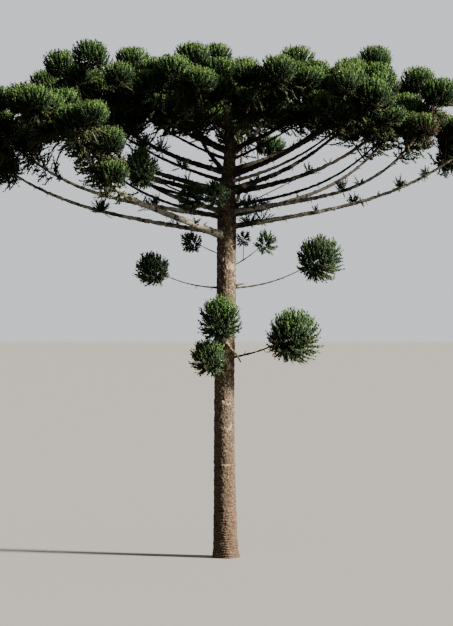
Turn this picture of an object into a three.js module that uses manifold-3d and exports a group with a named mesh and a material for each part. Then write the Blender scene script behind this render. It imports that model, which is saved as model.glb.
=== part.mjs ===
// A Parana pine at its real size, the candelabra tree of the southern Brazilian highlands: a straight
// trunk, a few young shoots low on it, and tiers of long boughs that leave it nearly level and curl up
// at their ends into masses of round tufts. Millimetres, +Z up, +X to the right and +Y away from the
// viewer. The origin is the middle of the flat cut at ground level.
import * as THREE from "three";
import { ConvexGeometry } from "three/addons/geometries/ConvexGeometry.js";
import { LoftGeometry } from "three/addons/geometries/LoftGeometry.js";
import { mergeVertices } from "three/addons/utils/BufferGeometryUtils.js";
import Module from "manifold-3d";

const wasm = await Module();
wasm.setup();

const CLEAR = 0.3; // gap between two solids that meet

// The trunk
const TRUNK_TOP = 13250;
const STEM_RADIUS = 262;
const BUTT_SWELL = 78; // how much thicker the foot is, fading upward over BUTT_FADE
const BUTT_FADE = 2600;
const FLARE = 42; // root flare at the very ground, in FLARE_LOBES soft lobes
const FLARE_FADE = 230;
const FLARE_LOBES = 5;
const FLARE_LOBE_DEPTH = 0.55;
const TAPER_FROM = 9400; // the stem holds its thickness up to here, then tapers to the leader
const TAPER_TO = TRUNK_TOP + 400;
const TAPER_POWER = 1.1;
const LEADER_RADIUS = 42;
const TRUNK_SIDES = 16;
const TRUNK_RINGS = 18;
const RING_CROWDING = 1.25; // over 1, rings stand closer near the ground
const ROOM = CLEAR + 0.1; // what is cut away round the trunk, with the play of 32-bit numbers
// The lean of its axis: [height, x]
const LEAN = [[0, 0], [4300, -35], [7300, 20], [9600, 40], [11200, 115], [12200, 20], [13400, -235]];

// Limbs: the boughs, the thin limbs at the top and the stems of the shoots
const BOUGH_SIDES = 5;
const BOUGH_RINGS = 6;
const STEM_SIDES = 4;
const STEM_RINGS = 3;
const LIMB_TAPER = 1.25;
const LIMB_TIP = 0.42; // radius of a limb's tip as a share of its root's
const WAVE = 60; // how far the longest limb wanders sideways
const WAVE_REACH = 7000;
const WAVE_TURNS = 7;
const COLLAR = 0.35; // extra thickness where a limb joins the trunk
const COLLAR_FADE = 320;

// Side twigs, each with a tuft at its end
const TWIG_SIDES = 3;
const TWIG_RADIUS = 26;
const TWIG_END = 0.6; // its end's radius as a share of its start's
const TWIG_LENGTH = 900;
const TWIG_TRIES = 30;
const FIRST_TWIG = 0.03; // past the end of the bare part, as a share of the limb
const LAST_TWIG = 0.94;

// A tuft is a ball of sprays: each face of a small core rises to the point of one.
const TUFT_SIZE = 600; // from the middle of a tuft to the tips of its longest sprays
const TUFT_SPREAD = 0.1;
const TUFT_CORNERS = 11; // the core's corners: a core with n corners has 2n - 4 sprays
const END_CORNERS = 13; // at the end of a limb
const BALL_CORNERS = 26; // on a big ball
const BALL_FROM = 440; // a shoot's tuft over this size is a big ball
const CORE_SHARE = 0.52; // the core's radius as a share of the tuft's
const TUFT_SPACING = 690; // least distance between the middles of two tufts
const SPRAY_LEAST = 0.86; // sprays are from this share of the tuft's size up to all of it
const SPRAY_LIFT = 0.22; // how far sprays lean up to the light
const SIDE_LIFT = 0.4; // how much of that a spray that stands out sideways has
const SHORTEST_SPRAY = 0.68; // a spray with no room for this share of the tuft's size is left out
const SPRAY_FOOT = 0.65; // half width of a spray's foot as a share of the core's radius
const KEEP_OFF = 14; // foliage keeps this far off the wood of its neighbours

// One entry a tier, from the lowest: the height that its limbs leave the trunk at, their radius there,
// the slope that they leave with, how late they curl up, the share of each that is bare, and its side
// twigs. Then each limb: its azimuth from +X towards +Y, its reach, the height of its tip, how far it
// leaves above the tier's height, and what it has of its own.
const TIERS = [
  { name: "tier1", height: 8800, radius: 76, slope: 0.16, curl: 4, bare: 0.78, twigs: 5, limbs: [
    { azimuth: 176, reach: 7000, tip: 11400, above: 0 },
    { azimuth: 226, reach: 5700, tip: 11450, above: -90, slope: 0.25, curl: 7, radius: 108, bare: 0.74 },
    { azimuth: 357, reach: 6900, tip: 11500, above: 180 },
    { azimuth: 84, reach: 5800, tip: 12900, above: 60, slope: 0.36 },
  ] },
  { name: "tier2", height: 9330, radius: 72, slope: 0.13, curl: 4, bare: 0.75, twigs: 5, limbs: [
    { azimuth: 186, reach: 6500, tip: 12000, above: -60 },
    { azimuth: 343, reach: 5900, tip: 12400, above: 60, curl: 5 },
    { azimuth: 128, reach: 6200, tip: 12400, above: 60, slope: 0.2 },
    { azimuth: 38, reach: 6300, tip: 12350, above: -40, slope: 0.2 },
  ] },
  { name: "tier3", height: 9900, radius: 70, slope: 0.2, curl: 3.2, bare: 0.71, twigs: 5, limbs: [
    { azimuth: 207, reach: 6000, tip: 12050, above: 40 },
    { azimuth: 7, reach: 5300, tip: 12950, above: 0 },
    { azimuth: 154, reach: 5700, tip: 13050, above: -60 },
    { azimuth: 314, reach: 5300, tip: 12150, above: 60 },
  ] },
  { name: "tier4", height: 10450, radius: 62, slope: 0.28, curl: 2.8, bare: 0.65, twigs: 4, limbs: [
    { azimuth: 174, reach: 4650, tip: 13400, above: 0 },
    { azimuth: 24, reach: 4500, tip: 13650, above: 70 },
    { azimuth: 106, reach: 4700, tip: 13450, above: -40 },
    { azimuth: 330, reach: 4500, tip: 12750, above: -90 },
  ] },
  { name: "tier5", height: 11000, radius: 54, slope: 0.4, curl: 2.4, bare: 0.56, twigs: 4, limbs: [
    { azimuth: 196, reach: 3900, tip: 13450, above: 0 },
    { azimuth: 354, reach: 3300, tip: 13100, above: 70 },
    { azimuth: 62, reach: 3700, tip: 13500, above: -70 },
    { azimuth: 138, reach: 3700, tip: 13700, above: 50 },
  ] },
  { name: "tier6", height: 11650, radius: 44, slope: 0.45, curl: 2, bare: 0.6, twigs: 3, limbs: [
    { azimuth: 168, reach: 2200, tip: 13200, above: 0 },
    { azimuth: 246, reach: 3700, tip: 12800, above: -350, slope: 0.3 },
    { azimuth: 20, reach: 2000, tip: 13500, above: -60 },
    { azimuth: 290, reach: 3600, tip: 12800, above: -250, slope: 0.3 },
  ] },
  { name: "tier7", height: 12250, radius: 34, slope: 0.6, curl: 1.8, bare: 0.55, twigs: 2, limbs: [
    { azimuth: 70, reach: 1500, tip: 13300, above: 0 },
    { azimuth: 230, reach: 1350, tip: 13400, above: 160 },
  ] },
];
const BOUGH_TIERS = 5; // the limbs above these tiers are thin, each one solid with its foliage

// Side twigs' tufts stay under the crown's top, which is flat in the middle, sinks to the rim and is
// lower on the viewer's side. The tufts at the limbs' tips stand over it and make a knobbly outline.
const CROWN_TOP = 13280;
const CROWN_RIM = 7000;
const CROWN_SINK = 1100;
const CROWN_TILT_NEAR = 0.11;
const CROWN_TILT_FAR = 0.03;

// The young shoots low on the trunk and under the crown, by the same measures. A short one is one
// solid with its tuft. Some carry a second tuft, on a twig that leaves at a share of the stem and ends
// at an offset from there.
const SHOOTS = [
  { name: "left", height: 7330, azimuth: 183, reach: 2030, tip: 7870, slope: 0.02, curl: 2.4,
    radius: 24, size: 470 },
  { name: "right", height: 7330, azimuth: 357, reach: 2560, tip: 8170, slope: 0.02, curl: 2.3,
    radius: 28, size: 620 },
  { name: "lower_right", height: 5420, azimuth: 352, reach: 1900, tip: 6050, slope: 0.1, curl: 2,
    radius: 34, size: 720 },
  { name: "front", height: 5650, azimuth: 262, reach: 900, tip: 6540, slope: 0.5, curl: 2,
    radius: 26, size: 590, short: true },
  { name: "front_low", height: 5080, azimuth: 238, reach: 860, tip: 5480, slope: 0.3, curl: 2,
    radius: 24, size: 500, short: true },
  { name: "upper_right", height: 7870, azimuth: 4, reach: 1080, tip: 8600, slope: 0.35, curl: 2,
    radius: 20, size: 330, short: true, second: { share: 0.42, offset: [20, -60, 640], size: 230 } },
  { name: "upper_left", height: 8180, azimuth: 176, reach: 980, tip: 8620, slope: 0.35, curl: 1.6,
    radius: 18, size: 320, short: true },
  { name: "crown_left", height: 9580, azimuth: 221, reach: 3050, tip: 10560, slope: 0.18, curl: 5,
    radius: 42, size: 480, short: true, second: { share: 0.74, offset: [-640, -420, 260], size: 400 } },
  { name: "crown_front", height: 9360, azimuth: 231, reach: 1530, tip: 9740, slope: 0.2, curl: 2,
    radius: 26, size: 420, short: true, second: { share: 0.45, offset: [120, -620, 330], size: 380 } },
];
const SHOOT_BARE = 0.72; // where a long shoot's bare stem ends
const SHOOT_TWIG = 0.7; // radius of a second tuft's twig as a share of the stem's

// The tuft that crowns the leader
const APEX_SIZE = 540;
const APEX_OFFSET = [-30, 0, 330]; // from the trunk's tip to its middle

// The seeds of the crown's limbs go up by TIER_SEED a tier.
const TIER_SEED = 100;
const SHOOT_SEED = 900;
const APEX_SEED = 77;

// How finely the wood is cut into straight stretches when room is looked for
const TRUNK_STRETCHES = 40;
const BARE_STRETCHES = 10;
const LEAFY_STRETCHES = 6;
const TWIG_STRETCHES = 3;
const TWIG_PROBES = 5;

// Finishes
const TRUNK_BARK = { color: 0x6b5a49, roughness: 0.95, metalness: 0 };
const LIMB_BARK = { color: 0x7a7263, roughness: 0.92, metalness: 0 };
const CROWN_LEAVES = { color: 0x35501f, roughness: 0.7, metalness: 0, flatShading: true };
const YOUNG_LEAVES = { color: 0x4c6a33, roughness: 0.7, metalness: 0, flatShading: true };

const UP = new THREE.Vector3(0, 0, 1);
const EAST = new THREE.Vector3(1, 0, 0);

// A repeatable stream of numbers from 0 to 1.
function seeded(seed) {
  let state = seed >>> 0;
  return () => {
    state = (state + 0x6d2b79f5) >>> 0;
    let t = Math.imul(state ^ (state >>> 15), 1 | state);
    t = (t + Math.imul(t ^ (t >>> 7), 61 | t)) ^ t;
    return ((t ^ (t >>> 14)) >>> 0) / 4294967296;
  };
}

// A smooth curve through a table of [x, y] rows.
function along(table, x) {
  const last = table.length - 1;
  let i = 0;
  while (i < last - 1 && x > table[i + 1][0]) i++;
  const slope = (k) => {
    const a = table[Math.max(0, k - 1)];
    const b = table[Math.min(last, k + 1)];
    return (b[1] - a[1]) / (b[0] - a[0]);
  };
  const width = table[i + 1][0] - table[i][0];
  const t = Math.min(1, Math.max(0, (x - table[i][0]) / width));
  const t2 = t * t;
  const t3 = t2 * t;
  return (2 * t3 - 3 * t2 + 1) * table[i][1] + (t3 - 2 * t2 + t) * width * slope(i)
    + (3 * t2 - 2 * t3) * table[i + 1][1] + (t3 - t2) * width * slope(i + 1);
}

function trunkCentre(z) {
  return new THREE.Vector3(along(LEAN, z), 0, z);
}

// The trunk's mean radius at a height, without the lobes of the flare.
function trunkRadius(z) {
  const rest = 1 - Math.max(0, z - TAPER_FROM) / (TAPER_TO - TAPER_FROM);
  const stem = Math.max(LEADER_RADIUS, STEM_RADIUS * rest ** TAPER_POWER);
  return stem + BUTT_SWELL * Math.exp(-z / BUTT_FADE) + FLARE * Math.exp(-z / FLARE_FADE);
}

// The closed body of the trunk, or with extra over 0 the space that its neighbours keep out of.
function trunkGeometry(extra) {
  const sections = [];
  for (let i = 0; i <= TRUNK_RINGS; i++) {
    const z = TRUNK_TOP * (i / TRUNK_RINGS) ** RING_CROWDING;
    const lobe = FLARE_LOBE_DEPTH * FLARE * Math.exp(-z / FLARE_FADE);
    const centre = trunkCentre(z + (i === TRUNK_RINGS ? extra : 0));
    const radiusAt = (angle) => trunkRadius(z) + lobe * Math.cos(FLARE_LOBES * angle) + extra;
    sections.push(ring(centre, UP, EAST, TRUNK_SIDES, radiusAt));
  }
  return new LoftGeometry(sections, { capStart: true, capEnd: true });
}

// Points round a centre, in the plane across the given direction, in the order that a loft needs.
function ring(centre, direction, across, sides, radiusAt) {
  const up = new THREE.Vector3().crossVectors(direction, across).normalize();
  const right = new THREE.Vector3().crossVectors(up, direction).normalize();
  const points = [];
  for (let k = 0; k < sides; k++) {
    const angle = (2 * Math.PI * k) / sides;
    const radius = radiusAt(angle);
    points.push(centre.clone()
      .addScaledVector(right, radius * Math.cos(angle))
      .addScaledVector(up, radius * Math.sin(angle)));
  }
  return points;
}

// A limb is a curve from the trunk's axis: level distance grows evenly, and the rise comes late.
function makeLimb(rule, seed) {
  const random = seeded(seed);
  const turn = THREE.MathUtils.degToRad(rule.azimuth);
  return {
    ...rule,
    random,
    root: trunkCentre(rule.height),
    outward: new THREE.Vector3(Math.cos(turn), Math.sin(turn), 0),
    sideways: new THREE.Vector3(-Math.sin(turn), Math.cos(turn), 0),
    late: rule.tip - rule.height - rule.slope * rule.reach,
    phase: 2 * Math.PI * random(),
  };
}

function limbPoint(limb, t) {
  const level = limb.reach * t;
  const settled = Math.min(1, 3 * t);
  const wander = (WAVE * limb.reach / WAVE_REACH) * settled * Math.sin(limb.phase + WAVE_TURNS * t);
  return limb.root.clone()
    .addScaledVector(limb.outward, level)
    .addScaledVector(limb.sideways, wander)
    .addScaledVector(UP, limb.slope * level + limb.late * t ** limb.curl);
}

function limbDirection(limb, t) {
  const step = 0.01;
  const from = limbPoint(limb, Math.max(0, t - step));
  return limbPoint(limb, Math.min(1, t + step)).sub(from).normalize();
}

function limbRadius(limb, t) {
  const slim = limb.radius * (LIMB_TIP + (1 - LIMB_TIP) * (1 - t) ** LIMB_TAPER);
  return slim * (1 + COLLAR * Math.exp((-limb.reach * t) / COLLAR_FADE));
}

// The closed body of a limb between two shares of its length. Its first ring stands on by start.
function limbGeometry(limb, from, to, rings, sides, start = 0) {
  const sections = [];
  for (let i = 0; i <= rings; i++) {
    const t = from + ((to - from) * i) / rings;
    const direction = limbDirection(limb, t);
    const centre = limbPoint(limb, t).addScaledVector(direction, i === 0 ? start : 0);
    sections.push(ring(centre, direction, limb.sideways, sides, () => limbRadius(limb, t)));
  }
  return new LoftGeometry(sections, { capStart: true, capEnd: true });
}

// A twig runs straight from its limb to the middle of the tuft that it carries.
function twigPoint(twig, t) {
  return twig.start.clone().addScaledVector(twig.direction, twig.length * t);
}

function twigGeometry(twig) {
  const across = new THREE.Vector3().crossVectors(UP, twig.direction).normalize();
  const sections = [0, 1].map((t) => {
    const radius = twig.radius * (1 - (1 - TWIG_END) * t);
    return ring(twigPoint(twig, t), twig.direction, across, TWIG_SIDES, () => radius);
  });
  return new LoftGeometry(sections, { capStart: true, capEnd: true });
}

// What is already placed. Wood is a list of straight stretches, and each stretch or tuft belongs to
// one solid, its owner.
const wood = [];
const tufts = [];

function addWood(pointAt, radiusAt, from, to, stretches, owner) {
  for (let i = 0; i < stretches; i++) {
    const a = from + ((to - from) * i) / stretches;
    const b = from + ((to - from) * (i + 1)) / stretches;
    wood.push({ line: new THREE.Line3(pointAt(a), pointAt(b)), radius: radiusAt(a), owner });
  }
}

// How far a point is from the nearest wood of other solids.
function woodClearance(point, owner) {
  const nearest = new THREE.Vector3();
  let least = Infinity;
  for (const piece of wood) {
    if (piece.owner === owner) continue;
    piece.line.closestPointToPoint(point, true, nearest);
    least = Math.min(least, nearest.distanceTo(point) - piece.radius);
  }
  return least;
}

// How far a point is from the nearest core of other solids' tufts.
function coreClearance(point, owner) {
  let least = Infinity;
  for (const tuft of tufts) {
    if (tuft.owner === owner) continue;
    least = Math.min(least, tuft.centre.distanceTo(point) - CORE_SHARE * tuft.size);
  }
  return least;
}

// The highest that the middle of a side twig's tuft may be over a place.
function crownTop(x, y) {
  const sink = CROWN_SINK * (Math.hypot(x, y) / CROWN_RIM) ** 3;
  return CROWN_TOP - sink + CROWN_TILT_NEAR * Math.min(y, 0) + CROWN_TILT_FAR * Math.max(y, 0);
}

function tuftFits(centre, size, owner) {
  if (centre.z > crownTop(centre.x, centre.y)) return false;
  if (woodClearance(centre, owner) < CORE_SHARE * size + KEEP_OFF) return false;
  return tufts.every((other) => {
    const spacing = (TUFT_SPACING * (size + other.size)) / (2 * TUFT_SIZE);
    return other.centre.distanceTo(centre) >= spacing;
  });
}

function twigFits(twig, owner) {
  const needed = twig.radius + KEEP_OFF;
  for (let i = 0; i <= TWIG_PROBES; i++) {
    const point = twigPoint(twig, i / TWIG_PROBES);
    if (woodClearance(point, owner) < needed || coreClearance(point, owner) < needed) return false;
  }
  return true;
}

// A twig's tuft and its own stretches of wood are entered among what is placed.
function enterTwig(twig, size, owner) {
  tufts.push({ centre: twigPoint(twig, 1), size, owner, corners: TUFT_CORNERS });
  addWood((t) => twigPoint(twig, t), () => twig.radius, 0, 1, TWIG_STRETCHES, owner);
  return twig;
}

// The tuft at the end of a limb.
function placeEndTuft(limb) {
  const size = limb.size ?? TUFT_SIZE * (1 + TUFT_SPREAD * limb.random());
  const corners = limb.corners ?? END_CORNERS;
  tufts.push({ centre: limbPoint(limb, 1), size, owner: limb.foliageName, corners });
}

// The second tuft of a young shoot, on a twig of its own.
function placeSecond(limb) {
  const start = limbPoint(limb, limb.second.share);
  const offset = new THREE.Vector3(...limb.second.offset);
  const length = offset.length();
  const direction = offset.divideScalar(length);
  const twig = { start, direction, length, radius: SHOOT_TWIG * limb.radius };
  return enterTwig(twig, limb.second.size, limb.foliageName);
}

// A side twig somewhere in its own stretch of the limb's leafy end, on the given side, with the size
// of its tuft.
function tryTwig(limb, k, side) {
  const share = (k + 0.1 + 0.8 * limb.random()) / limb.twigs;
  const t = limb.bare + FIRST_TWIG + (LAST_TWIG - limb.bare) * share;
  const direction = limbDirection(limb, t).multiplyScalar(-0.1 + 0.8 * limb.random())
    .addScaledVector(limb.sideways, side * (0.2 + 0.8 * limb.random()))
    .addScaledVector(UP, -0.2 + 1.15 * limb.random())
    .normalize();
  const size = TUFT_SIZE * (1 - TUFT_SPREAD * limb.random());
  const length = TWIG_LENGTH * (0.75 + 0.5 * limb.random());
  return { start: limbPoint(limb, t), direction, length, radius: TWIG_RADIUS, size };
}

// Side twigs stand by turns on the left and right. One that has no room is turned and tried again.
function placeTwigs(limb) {
  const placed = limb.second ? [placeSecond(limb)] : [];
  const owner = limb.foliageName;
  for (let k = 0; k < limb.twigs; k++) {
    const side = k % 2 === 0 ? 1 : -1;
    for (let attempt = 0; attempt < TWIG_TRIES; attempt++) {
      const twig = tryTwig(limb, k, side);
      if (!tuftFits(twigPoint(twig, 1), twig.size, owner) || !twigFits(twig, owner)) continue;
      placed.push(enterTwig(twig, twig.size, owner));
      break;
    }
  }
  return placed;
}

// The length that a spray can have: it stops at the middle plane between its tuft and each neighbour,
// and is left out where that makes it a stub or where it would touch wood.
function sprayLength(tuft, direction, wanted) {
  let length = wanted;
  for (const other of tufts) {
    if (other === tuft) continue;
    const apart = other.centre.clone().sub(tuft.centre);
    const distance = apart.length();
    const facing = direction.dot(apart) / distance;
    if (distance > 2 * wanted + other.size || facing <= 0) continue;
    const plane = (distance * tuft.size) / (tuft.size + other.size) - CLEAR;
    length = Math.min(length, plane / facing);
  }
  if (length < SHORTEST_SPRAY * tuft.size) return 0;
  const base = CORE_SHARE * tuft.size;
  for (const share of [0.1, 0.4, 0.7, 1]) {
    const point = tuft.centre.clone().addScaledVector(direction, base + (length - base) * share);
    const half = SPRAY_FOOT * base * (1 - share);
    if (woodClearance(point, tuft.owner) < half + KEEP_OFF) return 0;
    if (share > 0.1 && woodClearance(point, null) < half / 2) return 0;
  }
  return length;
}

// The faces of a tuft's core, three corners each: points spread evenly over a ball, and their hull.
function coreFaces(tuft, random) {
  const turn = new THREE.Euler(2 * Math.PI * random(), Math.PI * random(), 2 * Math.PI * random());
  const corners = [];
  for (let k = 0; k < tuft.corners; k++) {
    const height = 1 - (2 * k + 1) / tuft.corners;
    const angle = k * Math.PI * (3 - Math.sqrt(5));
    const width = Math.sqrt(1 - height * height);
    corners.push(new THREE.Vector3(width * Math.cos(angle), width * Math.sin(angle), height)
      .applyEuler(turn)
      .multiplyScalar(CORE_SHARE * tuft.size));
  }
  const hull = new ConvexGeometry(corners).getAttribute("position");
  const faces = [];
  for (let i = 0; i < hull.count; i += 3) {
    faces.push([0, 1, 2].map((k) => new THREE.Vector3().fromBufferAttribute(hull, i + k)));
  }
  return faces;
}

// A ball of sprays: each face of the core rises to a point, or stays flat where a spray has no room.
function tuftGeometry(tuft, random) {
  const points = [];
  for (const face of coreFaces(tuft, random)) {
    const outward = face[0].clone().add(face[1]).add(face[2]).normalize();
    const lift = SPRAY_LIFT * (SIDE_LIFT + (1 - SIDE_LIFT) * outward.z);
    const direction = outward.addScaledVector(UP, lift).normalize();
    const wanted = tuft.size * (SPRAY_LEAST + (1 - SPRAY_LEAST) * random());
    const length = sprayLength(tuft, direction, wanted);
    if (length === 0) {
      points.push(...face);
      continue;
    }
    const tip = direction.multiplyScalar(length);
    for (let k = 0; k < 3; k++) points.push(face[k], face[(k + 1) % 3], tip);
  }
  return new THREE.BufferGeometry().setFromPoints(points).translate(...tuft.centre);
}

// A closed geometry as a solid that can be joined and cut.
function solid(geometry) {
  const bare = geometry.index ? geometry.toNonIndexed() : geometry.clone();
  bare.deleteAttribute("normal");
  bare.deleteAttribute("uv");
  const merged = mergeVertices(bare, 1e-3);
  return new wasm.Manifold(new wasm.Mesh({
    numProp: 3,
    vertProperties: merged.getAttribute("position").array,
    triVerts: new Uint32Array(merged.index.array),
  }));
}

// What is left of a solid clear of the trunk, without any scrap cut loose.
function clearOfTrunk(made) {
  const bodies = made.subtract(trunkRoom).decompose();
  return bodies.reduce((a, b) => (b.volume() > a.volume() ? b : a));
}

// A named mesh with a material of its own, and its own origin at the given point.
function mesh(name, made, origin, finish) {
  const { numProp, vertProperties, triVerts, numVert } = made.getMesh();
  const positions = new Float32Array(3 * numVert);
  for (let i = 0; i < numVert; i++) {
    positions[3 * i] = vertProperties[numProp * i] - origin.x;
    positions[3 * i + 1] = vertProperties[numProp * i + 1] - origin.y;
    positions[3 * i + 2] = vertProperties[numProp * i + 2] - origin.z;
  }
  const geometry = new THREE.BufferGeometry()
    .setAttribute("position", new THREE.BufferAttribute(positions, 3))
    .setIndex(new THREE.BufferAttribute(new Uint32Array(triVerts), 1));
  geometry.computeVertexNormals();
  const piece = new THREE.Mesh(geometry, new THREE.MeshStandardMaterial(finish));
  piece.name = name;
  piece.position.copy(origin);
  return piece;
}

// The limbs of the crown. Those of the lower tiers have a bough and a foliage solid each.
function crownLimbs() {
  return TIERS.flatMap((tier, row) => tier.limbs.map((own, k) => {
    const rule = { ...tier, ...own, height: tier.height + own.above };
    const limb = makeLimb(rule, TIER_SEED * (row + 1) + k);
    const name = `${tier.name}_${"abcd"[k]}`;
    limb.boughName = row < BOUGH_TIERS ? `bough_${name}` : null;
    limb.foliageName = `foliage_${name}`;
    limb.group = tier.name;
    limb.leaves = CROWN_LEAVES;
    return limb;
  }));
}

// The shoots. Only the long ones have a stem solid apart from their tuft's.
function shootLimbs() {
  return SHOOTS.map((shoot, k) => {
    const corners = shoot.size > BALL_FROM ? BALL_CORNERS : END_CORNERS;
    const limb = makeLimb({ ...shoot, bare: SHOOT_BARE, twigs: 0, corners }, SHOOT_SEED + k);
    limb.boughName = shoot.short ? null : `shoot_${shoot.name}_stem`;
    limb.foliageName = `shoot_${shoot.name}_tuft`;
    limb.group = "shoots";
    limb.leaves = YOUNG_LEAVES;
    return limb;
  });
}

const limbs = [...crownLimbs(), ...shootLimbs()];
const apexCentre = trunkCentre(TRUNK_TOP).add(new THREE.Vector3(...APEX_OFFSET));
const apexName = "foliage_apex";

// Room is found for all the wood and tufts before any solid is made.
addWood(trunkCentre, trunkRadius, 0, TRUNK_TOP, TRUNK_STRETCHES, "trunk");
for (const limb of limbs) {
  const split = limb.boughName ? limb.bare : 0;
  const pointAt = (t) => limbPoint(limb, t);
  const radiusAt = (t) => limbRadius(limb, t);
  if (limb.boughName) addWood(pointAt, radiusAt, 0, split, BARE_STRETCHES, limb.boughName);
  addWood(pointAt, radiusAt, split, 1, LEAFY_STRETCHES, limb.foliageName);
}
tufts.push({ centre: apexCentre, size: APEX_SIZE, owner: apexName, corners: END_CORNERS });
for (const limb of limbs) placeEndTuft(limb);
for (const limb of limbs) limb.placed = placeTwigs(limb);

const trunkRoom = solid(trunkGeometry(ROOM));

function trunkMesh() {
  return mesh("trunk", solid(trunkGeometry(0)), new THREE.Vector3(), TRUNK_BARK);
}

// The bare part of a limb.
function boughMesh(limb) {
  const bough = solid(limbGeometry(limb, 0, limb.bare, BOUGH_RINGS, BOUGH_SIDES));
  return mesh(limb.boughName, clearOfTrunk(bough), limb.root, LIMB_BARK);
}

function tuftsOf(owner, random) {
  const own = tufts.filter((tuft) => tuft.owner === owner);
  return own.map((tuft) => solid(tuftGeometry(tuft, random)));
}

// A mass of foliage: the leafy end of a limb, or all of a thin one, with its twigs and tufts.
function foliageMesh(limb) {
  const from = limb.boughName ? limb.bare : 0;
  const rings = limb.boughName ? STEM_RINGS : BOUGH_RINGS;
  const stem = solid(limbGeometry(limb, from, 1, rings, STEM_SIDES, CLEAR));
  const twigs = limb.placed.map((twig) => solid(twigGeometry(twig)));
  const joined = wasm.Manifold.union([stem, ...twigs, ...tuftsOf(limb.foliageName, limb.random)]);
  return mesh(limb.foliageName, clearOfTrunk(joined), limbPoint(limb, from), limb.leaves);
}

// The tuft on the leader, with a short stem that stands on the trunk's tip.
function apexMesh() {
  const foot = trunkCentre(TRUNK_TOP).addScaledVector(UP, CLEAR);
  const rings = [foot, apexCentre].map((centre) => ring(centre, UP, EAST, BOUGH_SIDES, () => LEADER_RADIUS));
  const stem = solid(new LoftGeometry(rings, { capStart: true, capEnd: true }));
  const joined = wasm.Manifold.union([stem, ...tuftsOf(apexName, seeded(APEX_SEED))]);
  return mesh(apexName, clearOfTrunk(joined), foot, CROWN_LEAVES);
}

const tree = new THREE.Group();
tree.name = "parana_pine";
tree.add(trunkMesh());
for (const name of new Set(limbs.map((limb) => limb.group))) {
  const group = new THREE.Group();
  group.name = name;
  for (const limb of limbs.filter((each) => each.group === name)) {
    if (limb.boughName) group.add(boughMesh(limb));
    group.add(foliageMesh(limb));
  }
  tree.add(group);
}
tree.add(apexMesh());

export default tree;
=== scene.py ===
import functools
import math

import bpy
import numpy as np
from bpy.props import FloatProperty, FloatVectorProperty, IntProperty, PointerProperty
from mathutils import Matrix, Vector, noise


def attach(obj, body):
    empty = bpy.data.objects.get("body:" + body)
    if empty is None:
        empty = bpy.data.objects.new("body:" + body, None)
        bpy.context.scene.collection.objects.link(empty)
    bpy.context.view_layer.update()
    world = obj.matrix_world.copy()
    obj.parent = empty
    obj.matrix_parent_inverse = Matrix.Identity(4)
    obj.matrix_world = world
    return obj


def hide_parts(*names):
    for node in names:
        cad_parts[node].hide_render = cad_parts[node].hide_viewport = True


bl_info = {
    "name": "Parana Pine",
    "version": (1, 0, 0),
    "blender": (4, 5, 0),
    "location": "3D View > Sidebar > Parana Pine",
    "description": "Grows bark, twigs and leaves over the solids of a Parana pine",
    "category": "Object",
}

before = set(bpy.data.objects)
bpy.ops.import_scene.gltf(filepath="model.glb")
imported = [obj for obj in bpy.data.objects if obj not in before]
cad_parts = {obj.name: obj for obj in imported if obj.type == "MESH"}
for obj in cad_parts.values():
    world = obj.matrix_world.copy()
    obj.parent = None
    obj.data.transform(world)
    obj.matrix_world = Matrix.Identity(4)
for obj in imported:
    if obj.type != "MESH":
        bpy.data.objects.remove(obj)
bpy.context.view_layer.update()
BODY = "root"

# The tree's own rule, as the solids have it, in metres. The trunk first.
TRUNK_TOP = 13.25
STEM_RADIUS = 0.262
BUTT_SWELL = 0.078
BUTT_FADE = 2.6
FLARE = 0.042
FLARE_FADE = 0.23
FLARE_LOBES = 5
FLARE_LOBE_DEPTH = 0.55
TAPER_FROM = 9.4
TAPER_TO = TRUNK_TOP + 0.4
TAPER_POWER = 1.1
LEADER_RADIUS = 0.042
# The lean of its axis: height, x
LEAN = ((0, 0), (4.3, -0.035), (7.3, 0.02), (9.6, 0.04), (11.2, 0.115), (12.2, 0.02), (13.4, -0.235))

# Limbs and side twigs
LIMB_TAPER = 1.25
LIMB_TIP = 0.42
WAVE = 0.06
WAVE_REACH = 7.0
WAVE_TURNS = 7
WAVE_ONSET = 3
DIRECTION_STEP = 0.01
COLLAR = 0.35
COLLAR_FADE = 0.32
TWIG_RADIUS = 0.026
TWIG_END = 0.6
TWIG_LENGTH = 0.9
TWIG_TRIES = 30
FIRST_TWIG = 0.03
LAST_TWIG = 0.94
TWIG_MARGIN = 0.1  # at either end of a twig's own stretch of the limb
# What a side twig draws at random: the least, and how much more it may be
TWIG_AHEAD = (-0.1, 0.8)
TWIG_ASIDE = (0.2, 0.8)
TWIG_RISE = (-0.2, 1.15)
TWIG_VARIES = (0.75, 0.5)

# Tufts
TUFT_SIZE = 0.6
TUFT_SPREAD = 0.1
CORE_SHARE = 0.52
TUFT_SPACING = 0.69
SPRAY_LIFT = 0.22
SIDE_LIFT = 0.4
KEEP_OFF = 0.014
CLEAR = 0.0003

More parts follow.
